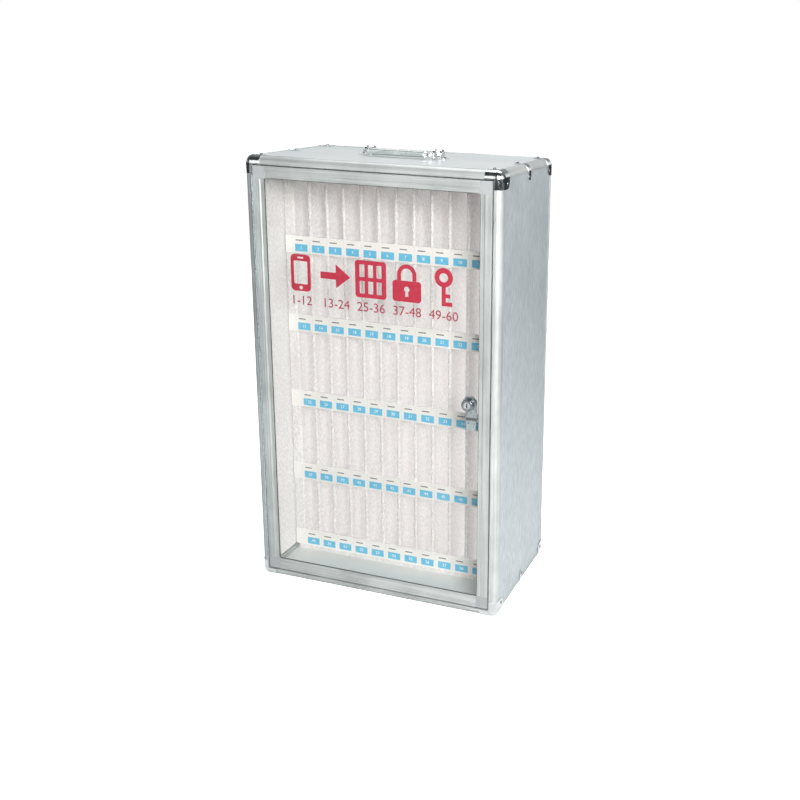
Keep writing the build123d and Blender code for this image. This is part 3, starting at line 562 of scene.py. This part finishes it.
def print_tree():
    """A row of rounded rectangles of ink on an upright card that faces forwards."""
    tree, given = new_tree("printed_row", [
        ("Geometry", "Geometry"), ("Count", "Int"), ("Step", "Float"), ("Width", "Float"),
        ("Height", "Float"), ("Rounding", "Float"), ("Thickness", "Float"),
        ("Middle", "Vector"), ("Ink", "Material"),
    ])
    gaps = add(tree, "ShaderNodeMath", {0: given["Count"], 1: 1.0}, operation="SUBTRACT")
    span = add(
        tree, "ShaderNodeMath", {0: gaps.outputs[0], 1: given["Step"]}, operation="MULTIPLY")
    line = add(tree, "GeometryNodeMeshGrid", {
        "Size X": span.outputs[0], "Size Y": 0.0,
        "Vertices X": given["Count"], "Vertices Y": 2,
    }).outputs["Mesh"]
    places = add(
        tree, "GeometryNodeMergeByDistance",
        {"Geometry": line, "Distance": FINE_WELD}).outputs[0]
    outline = add(
        tree, "GeometryNodeCurvePrimitiveQuadrilateral",
        {"Width": given["Width"], "Height": given["Height"]}).outputs["Curve"]
    rounded = add(
        tree, "GeometryNodeFilletCurve",
        {"Curve": outline, "Radius": given["Rounding"], "Count": 4}, mode="POLY").outputs[0]
    flat = add(tree, "GeometryNodeFillCurve", {"Curve": rounded}, mode="NGONS").outputs[0]
    raised = add(
        tree, "GeometryNodeExtrudeMesh",
        {"Mesh": flat, "Offset Scale": given["Thickness"], "Individual": False}).outputs["Mesh"]
    underside = add(tree, "GeometryNodeFlipFaces", {"Mesh": flat}).outputs[0]
    shell = add(tree, "GeometryNodeJoinGeometry")
    tree.links.new(raised, shell.inputs[0])
    tree.links.new(underside, shell.inputs[0])
    closed = add(
        tree, "GeometryNodeMergeByDistance",
        {"Geometry": shell.outputs[0], "Distance": FINE_WELD}).outputs[0]
    placed = add(
        tree, "GeometryNodeInstanceOnPoints", {"Points": places, "Instance": closed}).outputs[0]
    upright = add(tree, "GeometryNodeTransform", {
        "Geometry": placed, "Translation": given["Middle"],
        "Rotation": (math.radians(90), 0, 0),
    }).outputs[0]
    return close_tree(tree, upright, given["Ink"])


def fin_tree():
    """A row of foam fins, each leaning a little its own way, with a hand-cut ripple."""
    tree, given = new_tree("foam_fin_row", [
        ("Geometry", "Geometry"), ("Count", "Int"), ("Step", "Vector"), ("First", "Vector"),
        ("Lean", "Vector"), ("Ripple", "Float"), ("Seed", "Int"), ("Ends", "Object"),
        ("Foam", "Material"),
    ])
    line = add(tree, "GeometryNodeMeshLine", {
        "Count": given["Count"], "Start Location": given["First"], "Offset": given["Step"],
    }).outputs["Mesh"]
    opposite = add(
        tree, "ShaderNodeVectorMath", {0: given["Lean"], "Scale": -1.0}, operation="SCALE")
    lean = add(
        tree, "FunctionNodeRandomValue",
        {0: opposite.outputs[0], 1: given["Lean"], "Seed": given["Seed"]},
        data_type="FLOAT_VECTOR").outputs[0]
    turn = add(tree, "FunctionNodeEulerToRotation", {0: lean}).outputs[0]
    fins = add(tree, "GeometryNodeInstanceOnPoints", {
        "Points": line, "Instance": given["Geometry"], "Rotation": turn,
    }).outputs[0]
    ends = add(tree, "GeometryNodeObjectInfo", {"Object": given["Ends"]}).outputs["Geometry"]
    row = add(tree, "GeometryNodeJoinGeometry")
    tree.links.new(fins, row.inputs[0])
    tree.links.new(ends, row.inputs[0])
    real = add(tree, "GeometryNodeRealizeInstances", {"Geometry": row.outputs[0]}).outputs[0]
    cloud = add(
        tree, "ShaderNodeTexNoise", {"Scale": 26.0, "Detail": 2.0}).outputs["Fac"]
    centred = add(
        tree, "ShaderNodeMath", {0: cloud, 1: 0.5}, operation="SUBTRACT").outputs[0]
    depth = add(
        tree, "ShaderNodeMath", {0: centred, 1: given["Ripple"]}, operation="MULTIPLY")
    outward = add(tree, "GeometryNodeInputNormal").outputs[0]
    shift = add(
        tree, "ShaderNodeVectorMath",
        {0: outward, "Scale": depth.outputs[0]}, operation="SCALE").outputs[0]
    rippled = add(
        tree, "GeometryNodeSetPosition", {"Geometry": real, "Offset": shift}).outputs[0]
    return close_tree(tree, rippled, given["Foam"])


def stud_tree():
    """A head on each point, turned to look along that point's facing."""
    tree, given = new_tree("studs_on_points", [
        ("Geometry", "Geometry"), ("Head", "Object"), ("Metal", "Material"),
    ])
    head = add(tree, "GeometryNodeObjectInfo", {"Object": given["Head"]}).outputs["Geometry"]
    facing = add(
        tree, "GeometryNodeInputNamedAttribute", {"Name": "facing"},
        data_type="FLOAT_VECTOR").outputs["Attribute"]
    turn = add(
        tree, "FunctionNodeAlignRotationToVector", {"Vector": facing}, axis="Z").outputs[0]
    studs = add(tree, "GeometryNodeInstanceOnPoints", {
        "Points": given["Geometry"], "Instance": head, "Rotation": turn,
    }).outputs[0]
    return close_tree(tree, studs, given["Metal"])


# --- Foam rack --------------------------------------------------------------------------
def fin_mesh(size, rounded=(True, True)):
    """A foam fin about its own middle: upright, its front edges rounded where a slot is."""
    thick, deep, tall = size
    outline = []
    for side, slot_side in zip((-1, 1), rounded):
        nose = FIN_NOSE if slot_side else FOAM_EDGE
        for i in range(FIN_STEPS + 1):
            turn = math.radians(90) * (i if side < 0 else FIN_STEPS - i) / FIN_STEPS
            outline.append((
                side * (thick / 2 - nose + nose * math.cos(turn)),
                -deep / 2 + nose - nose * math.sin(turn),
            ))
    outline += [(thick / 2, deep / 2), (-thick / 2, deep / 2)]
    bm = extruded([(x, y, -tall / 2) for x, y in outline], (0, 0, tall))
    cut_across(bm, FOAM_CUT)
    return meshed("fin", bm)


def foam_fins(tier, tree, material):
    """The fins of one tier, where the frame has them; the two end ones are broad blocks."""
    node = f"dividers_{tier}"
    left, *between, right = islands(node)
    blocks = []
    for (low, high), rounded in ((left, (False, True)), (right, (True, False))):
        block = fin_mesh(high - low, rounded)
        block.transform(Matrix.Translation((low + high) / 2))
        blocks.append(block)
    ends = in_scene("ends", joined("ends", blocks))
    first, last = between[0], between[-1]
    made = made_by(tree, f"foam_fins_{tier}", fin_mesh(first[1] - first[0]), {
        "Count": len(between),
        "First": (first[0] + first[1]) / 2,
        "Step": (last[0] - first[0]) / (len(between) - 1),
        "Lean": (math.radians(FIN_LEAN) / 4, 0.0, math.radians(FIN_LEAN)),
        "Ripple": 2 * FOAM_RIPPLE,
        "Seed": tier,
        "Ends": ends,
        "Foam": material,
    }, "cabinet")
    bpy.data.objects.remove(ends)
    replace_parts(made, node)


def slab(bm, low, high):
    """A foam slab with softened edges and an uneven, knife-cut skin, inside its box."""
    block = bmesh.new()
    bmesh.ops.create_cube(block, size=1)
    middle, size = (low + high) / 2, high - low
    bmesh.ops.transform(
        block, verts=block.verts,
        matrix=Matrix.Translation(middle) @ Matrix.Diagonal((*size, 1)))
    bmesh.ops.bevel(
        block, geom=block.edges[:], offset=FOAM_EDGE, segments=3, profile=0.5,
        affect="EDGES")
    cut_across(block, FOAM_CUT)
    block.normal_update()
    for vertex in block.verts:
        hollow = 0.5 + 0.5 * noise.noise(vertex.co * 30)
        vertex.co -= vertex.normal * hollow * FOAM_RIPPLE
    mesh = meshed("slab", block)
    bm.from_mesh(mesh)
    bpy.data.meshes.remove(mesh)


def foam_pad(node, name, material):
    """Foam slabs in the boxes of a node's solids."""
    bm = bmesh.new()
    for low, high in islands(node):
        slab(bm, low, high)
    mesh = meshed(name, bm)
    smooth_faces(mesh)
    made = piece(name, mesh, material, "cabinet")
    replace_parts(made, node)


def foam_rack(material):
    """All the foam: fins and shelves of each tier, and the linings round them."""
    tree = fin_tree()
    for tier in range(1, TIERS + 1):
        foam_fins(tier, tree, material)
        foam_pad(f"shelf_{tier}", f"foam_shelf_{tier}", material)
    for node, name in (
            ("side_pads", "foam_side_linings"), ("back_pad", "foam_back_lining"),
            ("floor_pad", "foam_floor_lining")):
        foam_pad(node, name, material)


# --- Slot cards -------------------------------------------------------------------------
def stand(mesh, x, y, z):
    """Stands a flat mesh upright, facing forwards, with its middle at a place."""
    mesh.transform(Matrix.Translation((x, y, z)) @ Matrix.Rotation(math.radians(90), 4, "X"))
    return mesh


def as_mesh(curve):
    """The mesh of a curve or a text, which is used up."""
    holder = bpy.data.objects.new("holder", curve)
    mesh = bpy.data.meshes.new_from_object(holder)
    bpy.data.objects.remove(holder)
    bpy.data.curves.remove(curve)
    return mesh


def figures(text, size, thickness):
    """Flat figures, middled, with a little thickness."""
    curve = bpy.data.curves.new("figures", "FONT")
    curve.body = text
    curve.size = size
    curve.align_x = "CENTER"
    curve.align_y = "CENTER"
    curve.resolution_u = 3
    curve.extrude = thickness / 2
    return as_mesh(curve)


def card_print(inks):
    """Boxes with the slot numbers 1 to 60, name lines and tile rules on the five cards."""
    tree = print_tree()
    cards = sorted(islands("label_cards"), key=lambda box: -box[0].z)
    numbers = []
    for tier, (low, high) in enumerate(cards):
        start = low.x + BLANK_LEFT + CARD_SLIP[tier] * MM
        middle_x = start + TILE_STEP * SLOTS / 2
        rows = (        # name, size, rounding, drop below the card's top, shift aside, ink
            ("number_boxes", NUMBER_BOX, NUMBER_BOX_ROUNDING, NUMBER_BOX_DROP, 0.0, "blue"),
            ("name_lines", NAME_RULE, NAME_RULE_ROUNDING, NAME_RULE_DROP, NAME_RULE_SHIFT,
             "black"),
            ("tile_rules", TILE_RULE, TILE_RULE_ROUNDING, (high.z - low.z) / 2,
             -TILE_STEP / 2, "grey"),
        )
        for name, size, rounding, drop, shift, colour in rows:
            made_by(tree, f"{name}_{tier + 1}", bpy.data.meshes.new("start"), {
                "Count": SLOTS, "Step": TILE_STEP, "Width": size[0], "Height": size[1],
                "Rounding": rounding, "Thickness": 2 * INK,
                "Middle": Vector((middle_x + shift, low.y + INK, high.z - drop)),
                "Ink": inks[colour],
            }, "cabinet")
        for slot in range(SLOTS):
            text = figures(str(tier * SLOTS + slot + 1), NUMBER_SIZE, 2 * INK)
            x = start + TILE_STEP * (slot + 0.5)
            numbers.append(stand(text, x, low.y - FIGURES_AHEAD, high.z - NUMBER_BOX_DROP))
    piece("slot_numbers", joined("slot_numbers", numbers), inks["white"], "cabinet")


# --- Door signs -------------------------------------------------------------------------
def round_rect(x, z, width, height, radius, steps=5):
    """The outline of a rounded rectangle about a middle."""
    points = []
    for quarter, (sx, sz) in enumerate(((1, 1), (-1, 1), (-1, -1), (1, -1))):
        for i in range(steps + 1):
            turn = math.radians(90) * (quarter + i / steps)
            points.append((
                x + sx * (width / 2 - radius) + radius * math.cos(turn),
                z + sz * (height / 2 - radius) + radius * math.sin(turn),
            ))
    return points


def arc(x, z, radius, start, end, steps=20):
    """Points round a middle, from one angle to another, in degrees."""
    turns = [math.radians(start + (end - start) * i / steps) for i in range(steps + 1)]
    return [(x + radius * math.cos(turn), z + radius * math.sin(turn)) for turn in turns]


def phone_sign():
    """A phone with its screen, speaker slit and button."""
    return [
        round_rect(0, 0, 35, 59, 7), round_rect(0, 0.5, 24, 37, 2),
        round_rect(0, 24.3, 11, 2.8, 1.3), arc(0, -24, 3.0, 0, 342, 19),
    ]


def arrow_sign():
    """An arrow to the right."""
    return [[(-26, -5.5), (1, -5.5), (1, -19), (26, 0), (1, 19), (1, 5.5), (-26, 5.5)]]


def rack_sign():
    """A rack with six slots."""
    slots = [round_rect(x, z, 8.5, 20, 1.5) for x in (-14.5, 0, 14.5) for z in (-13, 13)]
    return [round_rect(0, 0, 53, 59, 5)] + slots


def padlock_sign():
    """A closed padlock with its keyhole."""
    keyhole = arc(0, -9.5, 4.5, -60, 240) + [(-2.6, -21), (2.6, -21)]
    shackle = [(16, 4)] + arc(0, 13.5, 16, 0, 180) + [(-16, 4), (-9.5, 4)]
    shackle += arc(0, 13.5, 9.5, 180, 0) + [(9.5, 4)]
    return [round_rect(0, -12.7, 48, 33, 5), keyhole, shackle]


def key_sign():
    """An upright key, its ring above and its teeth to the right."""
    shank = 3.4
    spread_angle = math.degrees(math.asin(shank / 15))
    bow = arc(0, 14.5, 15, -90 + spread_angle, 270 - spread_angle, 30)
    blade = [
        (-shank, -29.5), (14, -29.5), (14, -23), (shank, -23),
        (shank, -16.5), (11, -16.5), (11, -10.5), (shank, -10.5),
    ]
    return [blade + bow, arc(0, 14.5, 7, 0, 342, 19)]


def flat_sign(outlines, thickness):
    """A flat sign from outlines in millimetres; an outline inside another is a hole."""
    curve = bpy.data.curves.new("sign", "CURVE")
    curve.dimensions = "2D"
    curve.fill_mode = "BOTH"
    curve.extrude = thickness / 2
    for points in outlines:
        spline = curve.splines.new("POLY")
        spline.points.add(len(points) - 1)
        for point, (x, z) in zip(spline.points, points):
            point.co = (x * MM, z * MM, 0, 1)
        spline.use_cyclic_u = True
    return as_mesh(curve)


def door_signs(red, dark_red):
    """Five cut-vinyl signs across the door, and the numbers of each tier's slots under them."""
    sheet_low = islands("door_panel")[0][0]
    y = sheet_low.y - VINYL / 2
    signs = (phone_sign, arrow_sign, rack_sign, padlock_sign, key_sign)
    shapes, ranges = [], []
    for i, sign in enumerate(signs):
        x = (i - (len(signs) - 1) / 2) * SIGN_STEP
        shapes.append(stand(flat_sign(sign(), VINYL), x, y, SIGN_Z))
        span = f"{i * SLOTS + 1}-{(i + 1) * SLOTS}"
        ranges.append(stand(figures(span, RANGE_SIZE, VINYL), x, y, RANGE_Z))
    piece("door_signs", joined("door_signs", shapes), red, "door")
    piece("door_number_ranges", joined("door_number_ranges", ranges), dark_red, "door")


# --- Grip -------------------------------------------------------------------------------
def notched(start, end):
    """A straight side of a grip's outline, with a narrow channel near each end."""
    along = (end - start).normalized()
    inward = Vector((-along.y, along.x)) * CHANNEL_DEPTH
    points = [start]
    for middle in (start + along * CHANNEL_INSET, end - along * CHANNEL_INSET):
        points += [
            middle - along * CHANNEL_WIDTH / 2, middle - along * CHANNEL_WIDTH / 3 + inward,
            middle + along * CHANNEL_WIDTH / 3 + inward, middle + along * CHANNEL_WIDTH / 2]
    return points + [end]


def grooved_grip(material):
    """The handle's grip: an extruded bar with channels along its four sides."""
    low, high = islands("handle_grip")[0]
    middle, size = (low + high) / 2, high - low
    flat_y, flat_z = size.y / 2 - GRIP_ROUNDING, size.z / 2 - GRIP_ROUNDING
    outline = []
    for quarter, (side_y, side_z) in enumerate(((1, -1), (1, 1), (-1, 1), (-1, -1))):
        turns = [
            math.radians(90) * (quarter - 1 + i / GRIP_STEPS) for i in range(GRIP_STEPS + 1)]
        *rounding, start = [
            Vector((
                side_y * flat_y + GRIP_ROUNDING * math.cos(turn),
                side_z * flat_z + GRIP_ROUNDING * math.sin(turn)))
            for turn in turns]
        across = Vector((-math.sin(turns[-1]), math.cos(turns[-1])))
        length = 2 * (flat_z if quarter % 2 == 0 else flat_y)
        outline += rounding + notched(start, start + across * length)[:-1]
    ring = [(low.x, middle.y + y, middle.z + z) for y, z in outline]
    mesh = meshed("grooved_grip", extruded(ring, (size.x, 0, 0)))
    smooth_faces(mesh, 30)
    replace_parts(piece("grooved_grip", mesh, material, "handle"), "handle_grip")


# --- Rivets -----------------------------------------------------------------------------
def rivet_head(radius, height):
    """A blind rivet's head: a shallow dome with the hollow of its broken stem."""
    profile = [
        (radius, 0.0), (radius * 0.97, height * 0.35), (radius * 0.8, height * 0.8),
        (radius * 0.55, height), (radius * 0.40, height * 0.93), (radius * 0.36, height * 0.4),
        (radius * 0.30, height * 0.35), (radius * 0.24, height * 0.62), (0.0, height * 0.68),
    ]
    bm = bmesh.new()
    line = [bm.verts.new((r, 0, z)) for r, z in profile]
    edges = [bm.edges.new(pair) for pair in zip(line, line[1:])]
    bmesh.ops.spin(
        bm, geom=line + edges, cent=(0, 0, 0), axis=(0, 0, 1),
        angle=math.radians(360), steps=20)
    bmesh.ops.remove_doubles(bm, verts=bm.verts, dist=FINE_WELD)
    rim = [edge for edge in bm.edges if edge.is_boundary]
    bmesh.ops.edgeloop_fill(bm, edges=rim)
    bmesh.ops.recalc_face_normals(bm, faces=bm.faces)
    return meshed("rivet_head", bm)


def rivets(material):
    """Blind rivets in the places of the frame's rivets, on whichever face each one sits."""
    middle = (Vector(CAD_BOX[0]) + Vector(CAD_BOX[1])) / 2
    places, facings = [], []
    for low, high in islands("rivets"):
        size = high - low
        axis = min(range(3), key=lambda i: size[i])
        outward = 1 if (low[axis] + high[axis]) / 2 > middle[axis] else -1
        facing = Vector()
        facing[axis] = outward
        place = (low + high) / 2
        place[axis] = low[axis] if outward > 0 else high[axis]
        places.append(place)
        facings.append(facing)
    points = bpy.data.meshes.new("rivet_places")
    points.from_pydata(places, [], [])
    stored = points.attributes.new("facing", "FLOAT_VECTOR", "POINT")
    stored.data.foreach_set("vector", [value for facing in facings for value in facing])
    # All rivets are alike, so the last one gives the size of a head.
    head = in_scene("head", rivet_head(max(size) / 2, min(size)))
    made = made_by(
        stud_tree(), "blind_rivets", points, {"Head": head, "Metal": material},
        "cabinet")
    bpy.data.objects.remove(head)
    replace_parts(made, "rivets")


# --- Studio -----------------------------------------------------------------------------
def studio_floor():
    """A white table that runs into the white surroundings; its colour is a painted pool of light,
    pale near the cabinet and dark farther out, which metal mirrors."""
    material, tree, shader = finish(
        "studio_floor", IOR=1.45, Specular_IOR_Level=0.2, Emission_Color=(1, 1, 1, 1))
    place = add(tree, "ShaderNodeTexCoord").outputs["Object"]
    reach = add(tree, "ShaderNodeVectorMath", {0: place}, operation="LENGTH").outputs["Value"]
    seen = add(tree, "ShaderNodeLightPath").outputs["Is Camera Ray"]
    feed(
        tree, shader,
        # painted pool of light: the table's colour is pale near the cabinet and dark farther out
        Base_Color=tint(
            tree, levels(tree, reach, 0, 1, 0, FLOOR_REACH),
            *zip(FLOOR_FADE, (FLOOR_NEAR, FLOOR_FAR))),
        Emission_Strength=levels(tree, seen, 0, FLOOR_GLOW),
        Roughness=levels(tree, grain(tree, 3, 4), 0.75, 0.85),
    )
    bm = bmesh.new()
    bmesh.ops.create_circle(bm, cap_ends=True, segments=96, radius=FLOOR_RADIUS)
    mesh = meshed("studio_floor", bm)
    mesh.materials.append(material)
    floor = in_scene("studio_floor", mesh)
    floor.visible_diffuse = False


def flag(name, place, target, size):
    """A dark card that stands out of view and gives polished metal something to mirror."""
    material, tree, shader = finish(name, Specular_IOR_Level=0.1)
    cloth = grain(tree, 30, 4)
    feed(
        tree, shader,
        Base_Color=tint(tree, cloth, (0.3, srgb(40, 42, 44)), (0.7, srgb(52, 54, 56))),
        Roughness=levels(tree, cloth, 0.8, 0.9),
    )
    bm = bmesh.new()
    bmesh.ops.create_grid(bm, x_segments=4, y_segments=4, size=0.5)
    bmesh.ops.scale(bm, verts=bm.verts, vec=(*size, 1))
    turn = (Vector(target) - Vector(place)).to_track_quat("-Z", "Y").to_matrix().to_4x4()
    bmesh.ops.transform(bm, verts=bm.verts, matrix=Matrix.Translation(place) @ turn)
    mesh = meshed(name, bm)
    mesh.materials.append(material)
    card = in_scene(name, mesh)
    card.visible_camera = False


def softbox(name, place, target, size, power):
    """An area lamp that looks at a target."""
    lamp = bpy.data.lights.new(name, "AREA")
    lamp.shape = "RECTANGLE"
    lamp.size, lamp.size_y = size
    lamp.energy = power
    made = in_scene(name, lamp)
    made.location = place
    made.rotation_euler = (Vector(target) - Vector(place)).to_track_quat("-Z", "Y").to_euler()


def studio_light():
    """Softboxes, in a room that is pale ahead of the camera and dim behind it."""
    world = bpy.data.worlds.new("studio")
    world.use_nodes = True
    tree = world.node_tree
    direction = add(tree, "ShaderNodeTexCoord").outputs["Generated"]
    parts = add(tree, "ShaderNodeSeparateXYZ", {"Vector": direction}).outputs
    ahead = levels(tree, parts["Y"], ROOM_BEHIND, 1, -0.3, 0.15)
    seen = add(tree, "ShaderNodeLightPath").outputs["Is Camera Ray"]
    colour = tint(tree, levels(tree, parts["Z"], 0, 1, -1, 1), *ROOM_BANDS)
    lit = tree.nodes["Background"]
    tree.links.new(colour, lit.inputs["Color"])
    tree.links.new(ahead, lit.inputs["Strength"])
    white = add(tree, "ShaderNodeBackground", {"Color": (1, 1, 1, 1)})
    both = add(
        tree, "ShaderNodeMixShader", {0: seen, 1: lit.outputs[0], 2: white.outputs[0]})
    tree.links.new(both.outputs[0], tree.nodes["World Output"].inputs["Surface"])
    bpy.context.scene.world = world
    for lamp in SOFTBOXES:
        softbox(*lamp)
    flag("dark_card", *DARK_CARD)


def camera():
    """The camera, and plain display colours."""
    lens = bpy.data.cameras.new("camera")
    lens.lens = CAMERA_LENS
    lens.sensor_width = CAMERA_SENSOR
    lens.shift_x, lens.shift_y = CAMERA_SHIFT
    made = in_scene("camera", lens)
    made.matrix_world = (
        Matrix.Translation(CAMERA_PLACE)
        @ Matrix.Rotation(math.radians(CAMERA_AZIMUTH), 4, "Z")
        @ Matrix.Rotation(math.radians(90 - CAMERA_DIP), 4, "X")
        @ Matrix.Rotation(math.radians(CAMERA_ROLL), 4, "Z")
    )
    bpy.context.scene.camera = made
    bpy.context.scene.view_settings.view_transform = "Standard"


# --- Everything -------------------------------------------------------------------------
def dress_cabinet():
    """Extrusions and panels."""
    pale, bright = srgb(184, 189, 187), srgb(217, 222, 220)
    upright = anodised("anodised_upright", "Z", pale, bright)
    across = anodised("anodised_across", "X", pale, bright)
    deep = anodised("anodised_deep", "Y", pale, bright)
    dress(upright, "front_post_left", "front_post_right", "back_post_left", "back_post_right")
    dress(upright, "door_stile_left", "door_stile_right")
    dress(across, "front_rail_bottom", "front_rail_top", "back_rail_bottom", "back_rail_top")
    dress(across, "door_rail_bottom", "door_rail_top")
    dress(deep, "side_rail_bottom_left", "side_rail_bottom_right")
    dress(deep, "side_rail_top_left", "side_rail_top_right")
    rolled = srgb(192, 201, 206), srgb(218, 225, 229)
    dress(embossed("embossed_side", "X", *rolled), "side_panel_left", "side_panel_right")
    dress(embossed("embossed_back", "Y", *rolled), "back_panel")
    dress(smooth_sheet("coated_sheet", srgb(222, 228, 229), srgb(234, 238, 238)), "top_panel")
    dress(smooth_sheet("inner_sheet", srgb(222, 225, 224), srgb(232, 235, 234)), "bottom_panel")


def dress_fittings():
    """Caps, handle, lock, hinge, door fittings, label ledges and rivets."""
    plate = plated("chrome_plate", srgb(206, 210, 211), srgb(232, 234, 234))
    # Painted shade: a darker copy of the chrome for the lock body, standing in for its dark
    # reflections
    shaded_lock_plate = plated("lock_chrome_painted_dark", srgb(116, 121, 124), srgb(150, 155, 157))
    plug_plate = plated("plug_chrome", srgb(186, 190, 191), srgb(214, 217, 218))
    rivet_plate = plated("rivet_steel", srgb(104, 112, 116), srgb(138, 146, 150))
    steel = zinc()
    dress(plate, "corner_caps_front", "corner_caps_back", "edge_straps")
    dress(plate, "handle_mounts", "handle_pins", "handle_bail")
    dress(shaded_lock_plate, "lock_body")
    dress(plug_plate, "lock_plug")
    grooved_grip(plated("grip_plate", srgb(184, 192, 190), srgb(212, 218, 216)))
    dress(steel, "lock_nut", "cam", "cam_screw", "hinge_leaf_cabinet", "hinge_leaf_door")
    dress(steel, "hinge_pin")
    grey = moulded("grey_plastic", srgb(176, 180, 181), srgb(188, 192, 193), 0.42)
    dress(grey, "door_corner_blocks", "corner_connectors")
    dress(rubber(), "door_gasket")
    dress(clear_sheet(), "door_panel")
    ledge = moulded("white_plastic", srgb(242, 241, 240), srgb(248, 248, 247), 0.3, 0.02)
    dress(ledge, *[f"label_strip_{tier}" for tier in range(1, TIERS + 1)])
    dress(paper(), "label_cards")
    rivets(rivet_plate)


def dress_print():
    """Print on the cards and signs on the door."""
    card_print({
        "blue": ink("blue_ink", srgb(98, 184, 220), srgb(116, 197, 229)),
        "white": ink("white_ink", srgb(240, 246, 248), srgb(252, 253, 253)),
        "black": ink("dark_ink", srgb(112, 106, 110), srgb(142, 136, 140)),
        "grey": ink("grey_ink", srgb(206, 205, 206), srgb(222, 221, 222)),
    })
    door_signs(
        ink("red_vinyl", srgb(182, 50, 70), srgb(192, 62, 80), 0.35),
        ink("dark_red_vinyl", srgb(160, 48, 72), srgb(174, 60, 82), 0.35),
    )


dress_cabinet()
dress_fittings()
dress_print()
foam_rack(foam())
studio_floor()
studio_light()
camera()
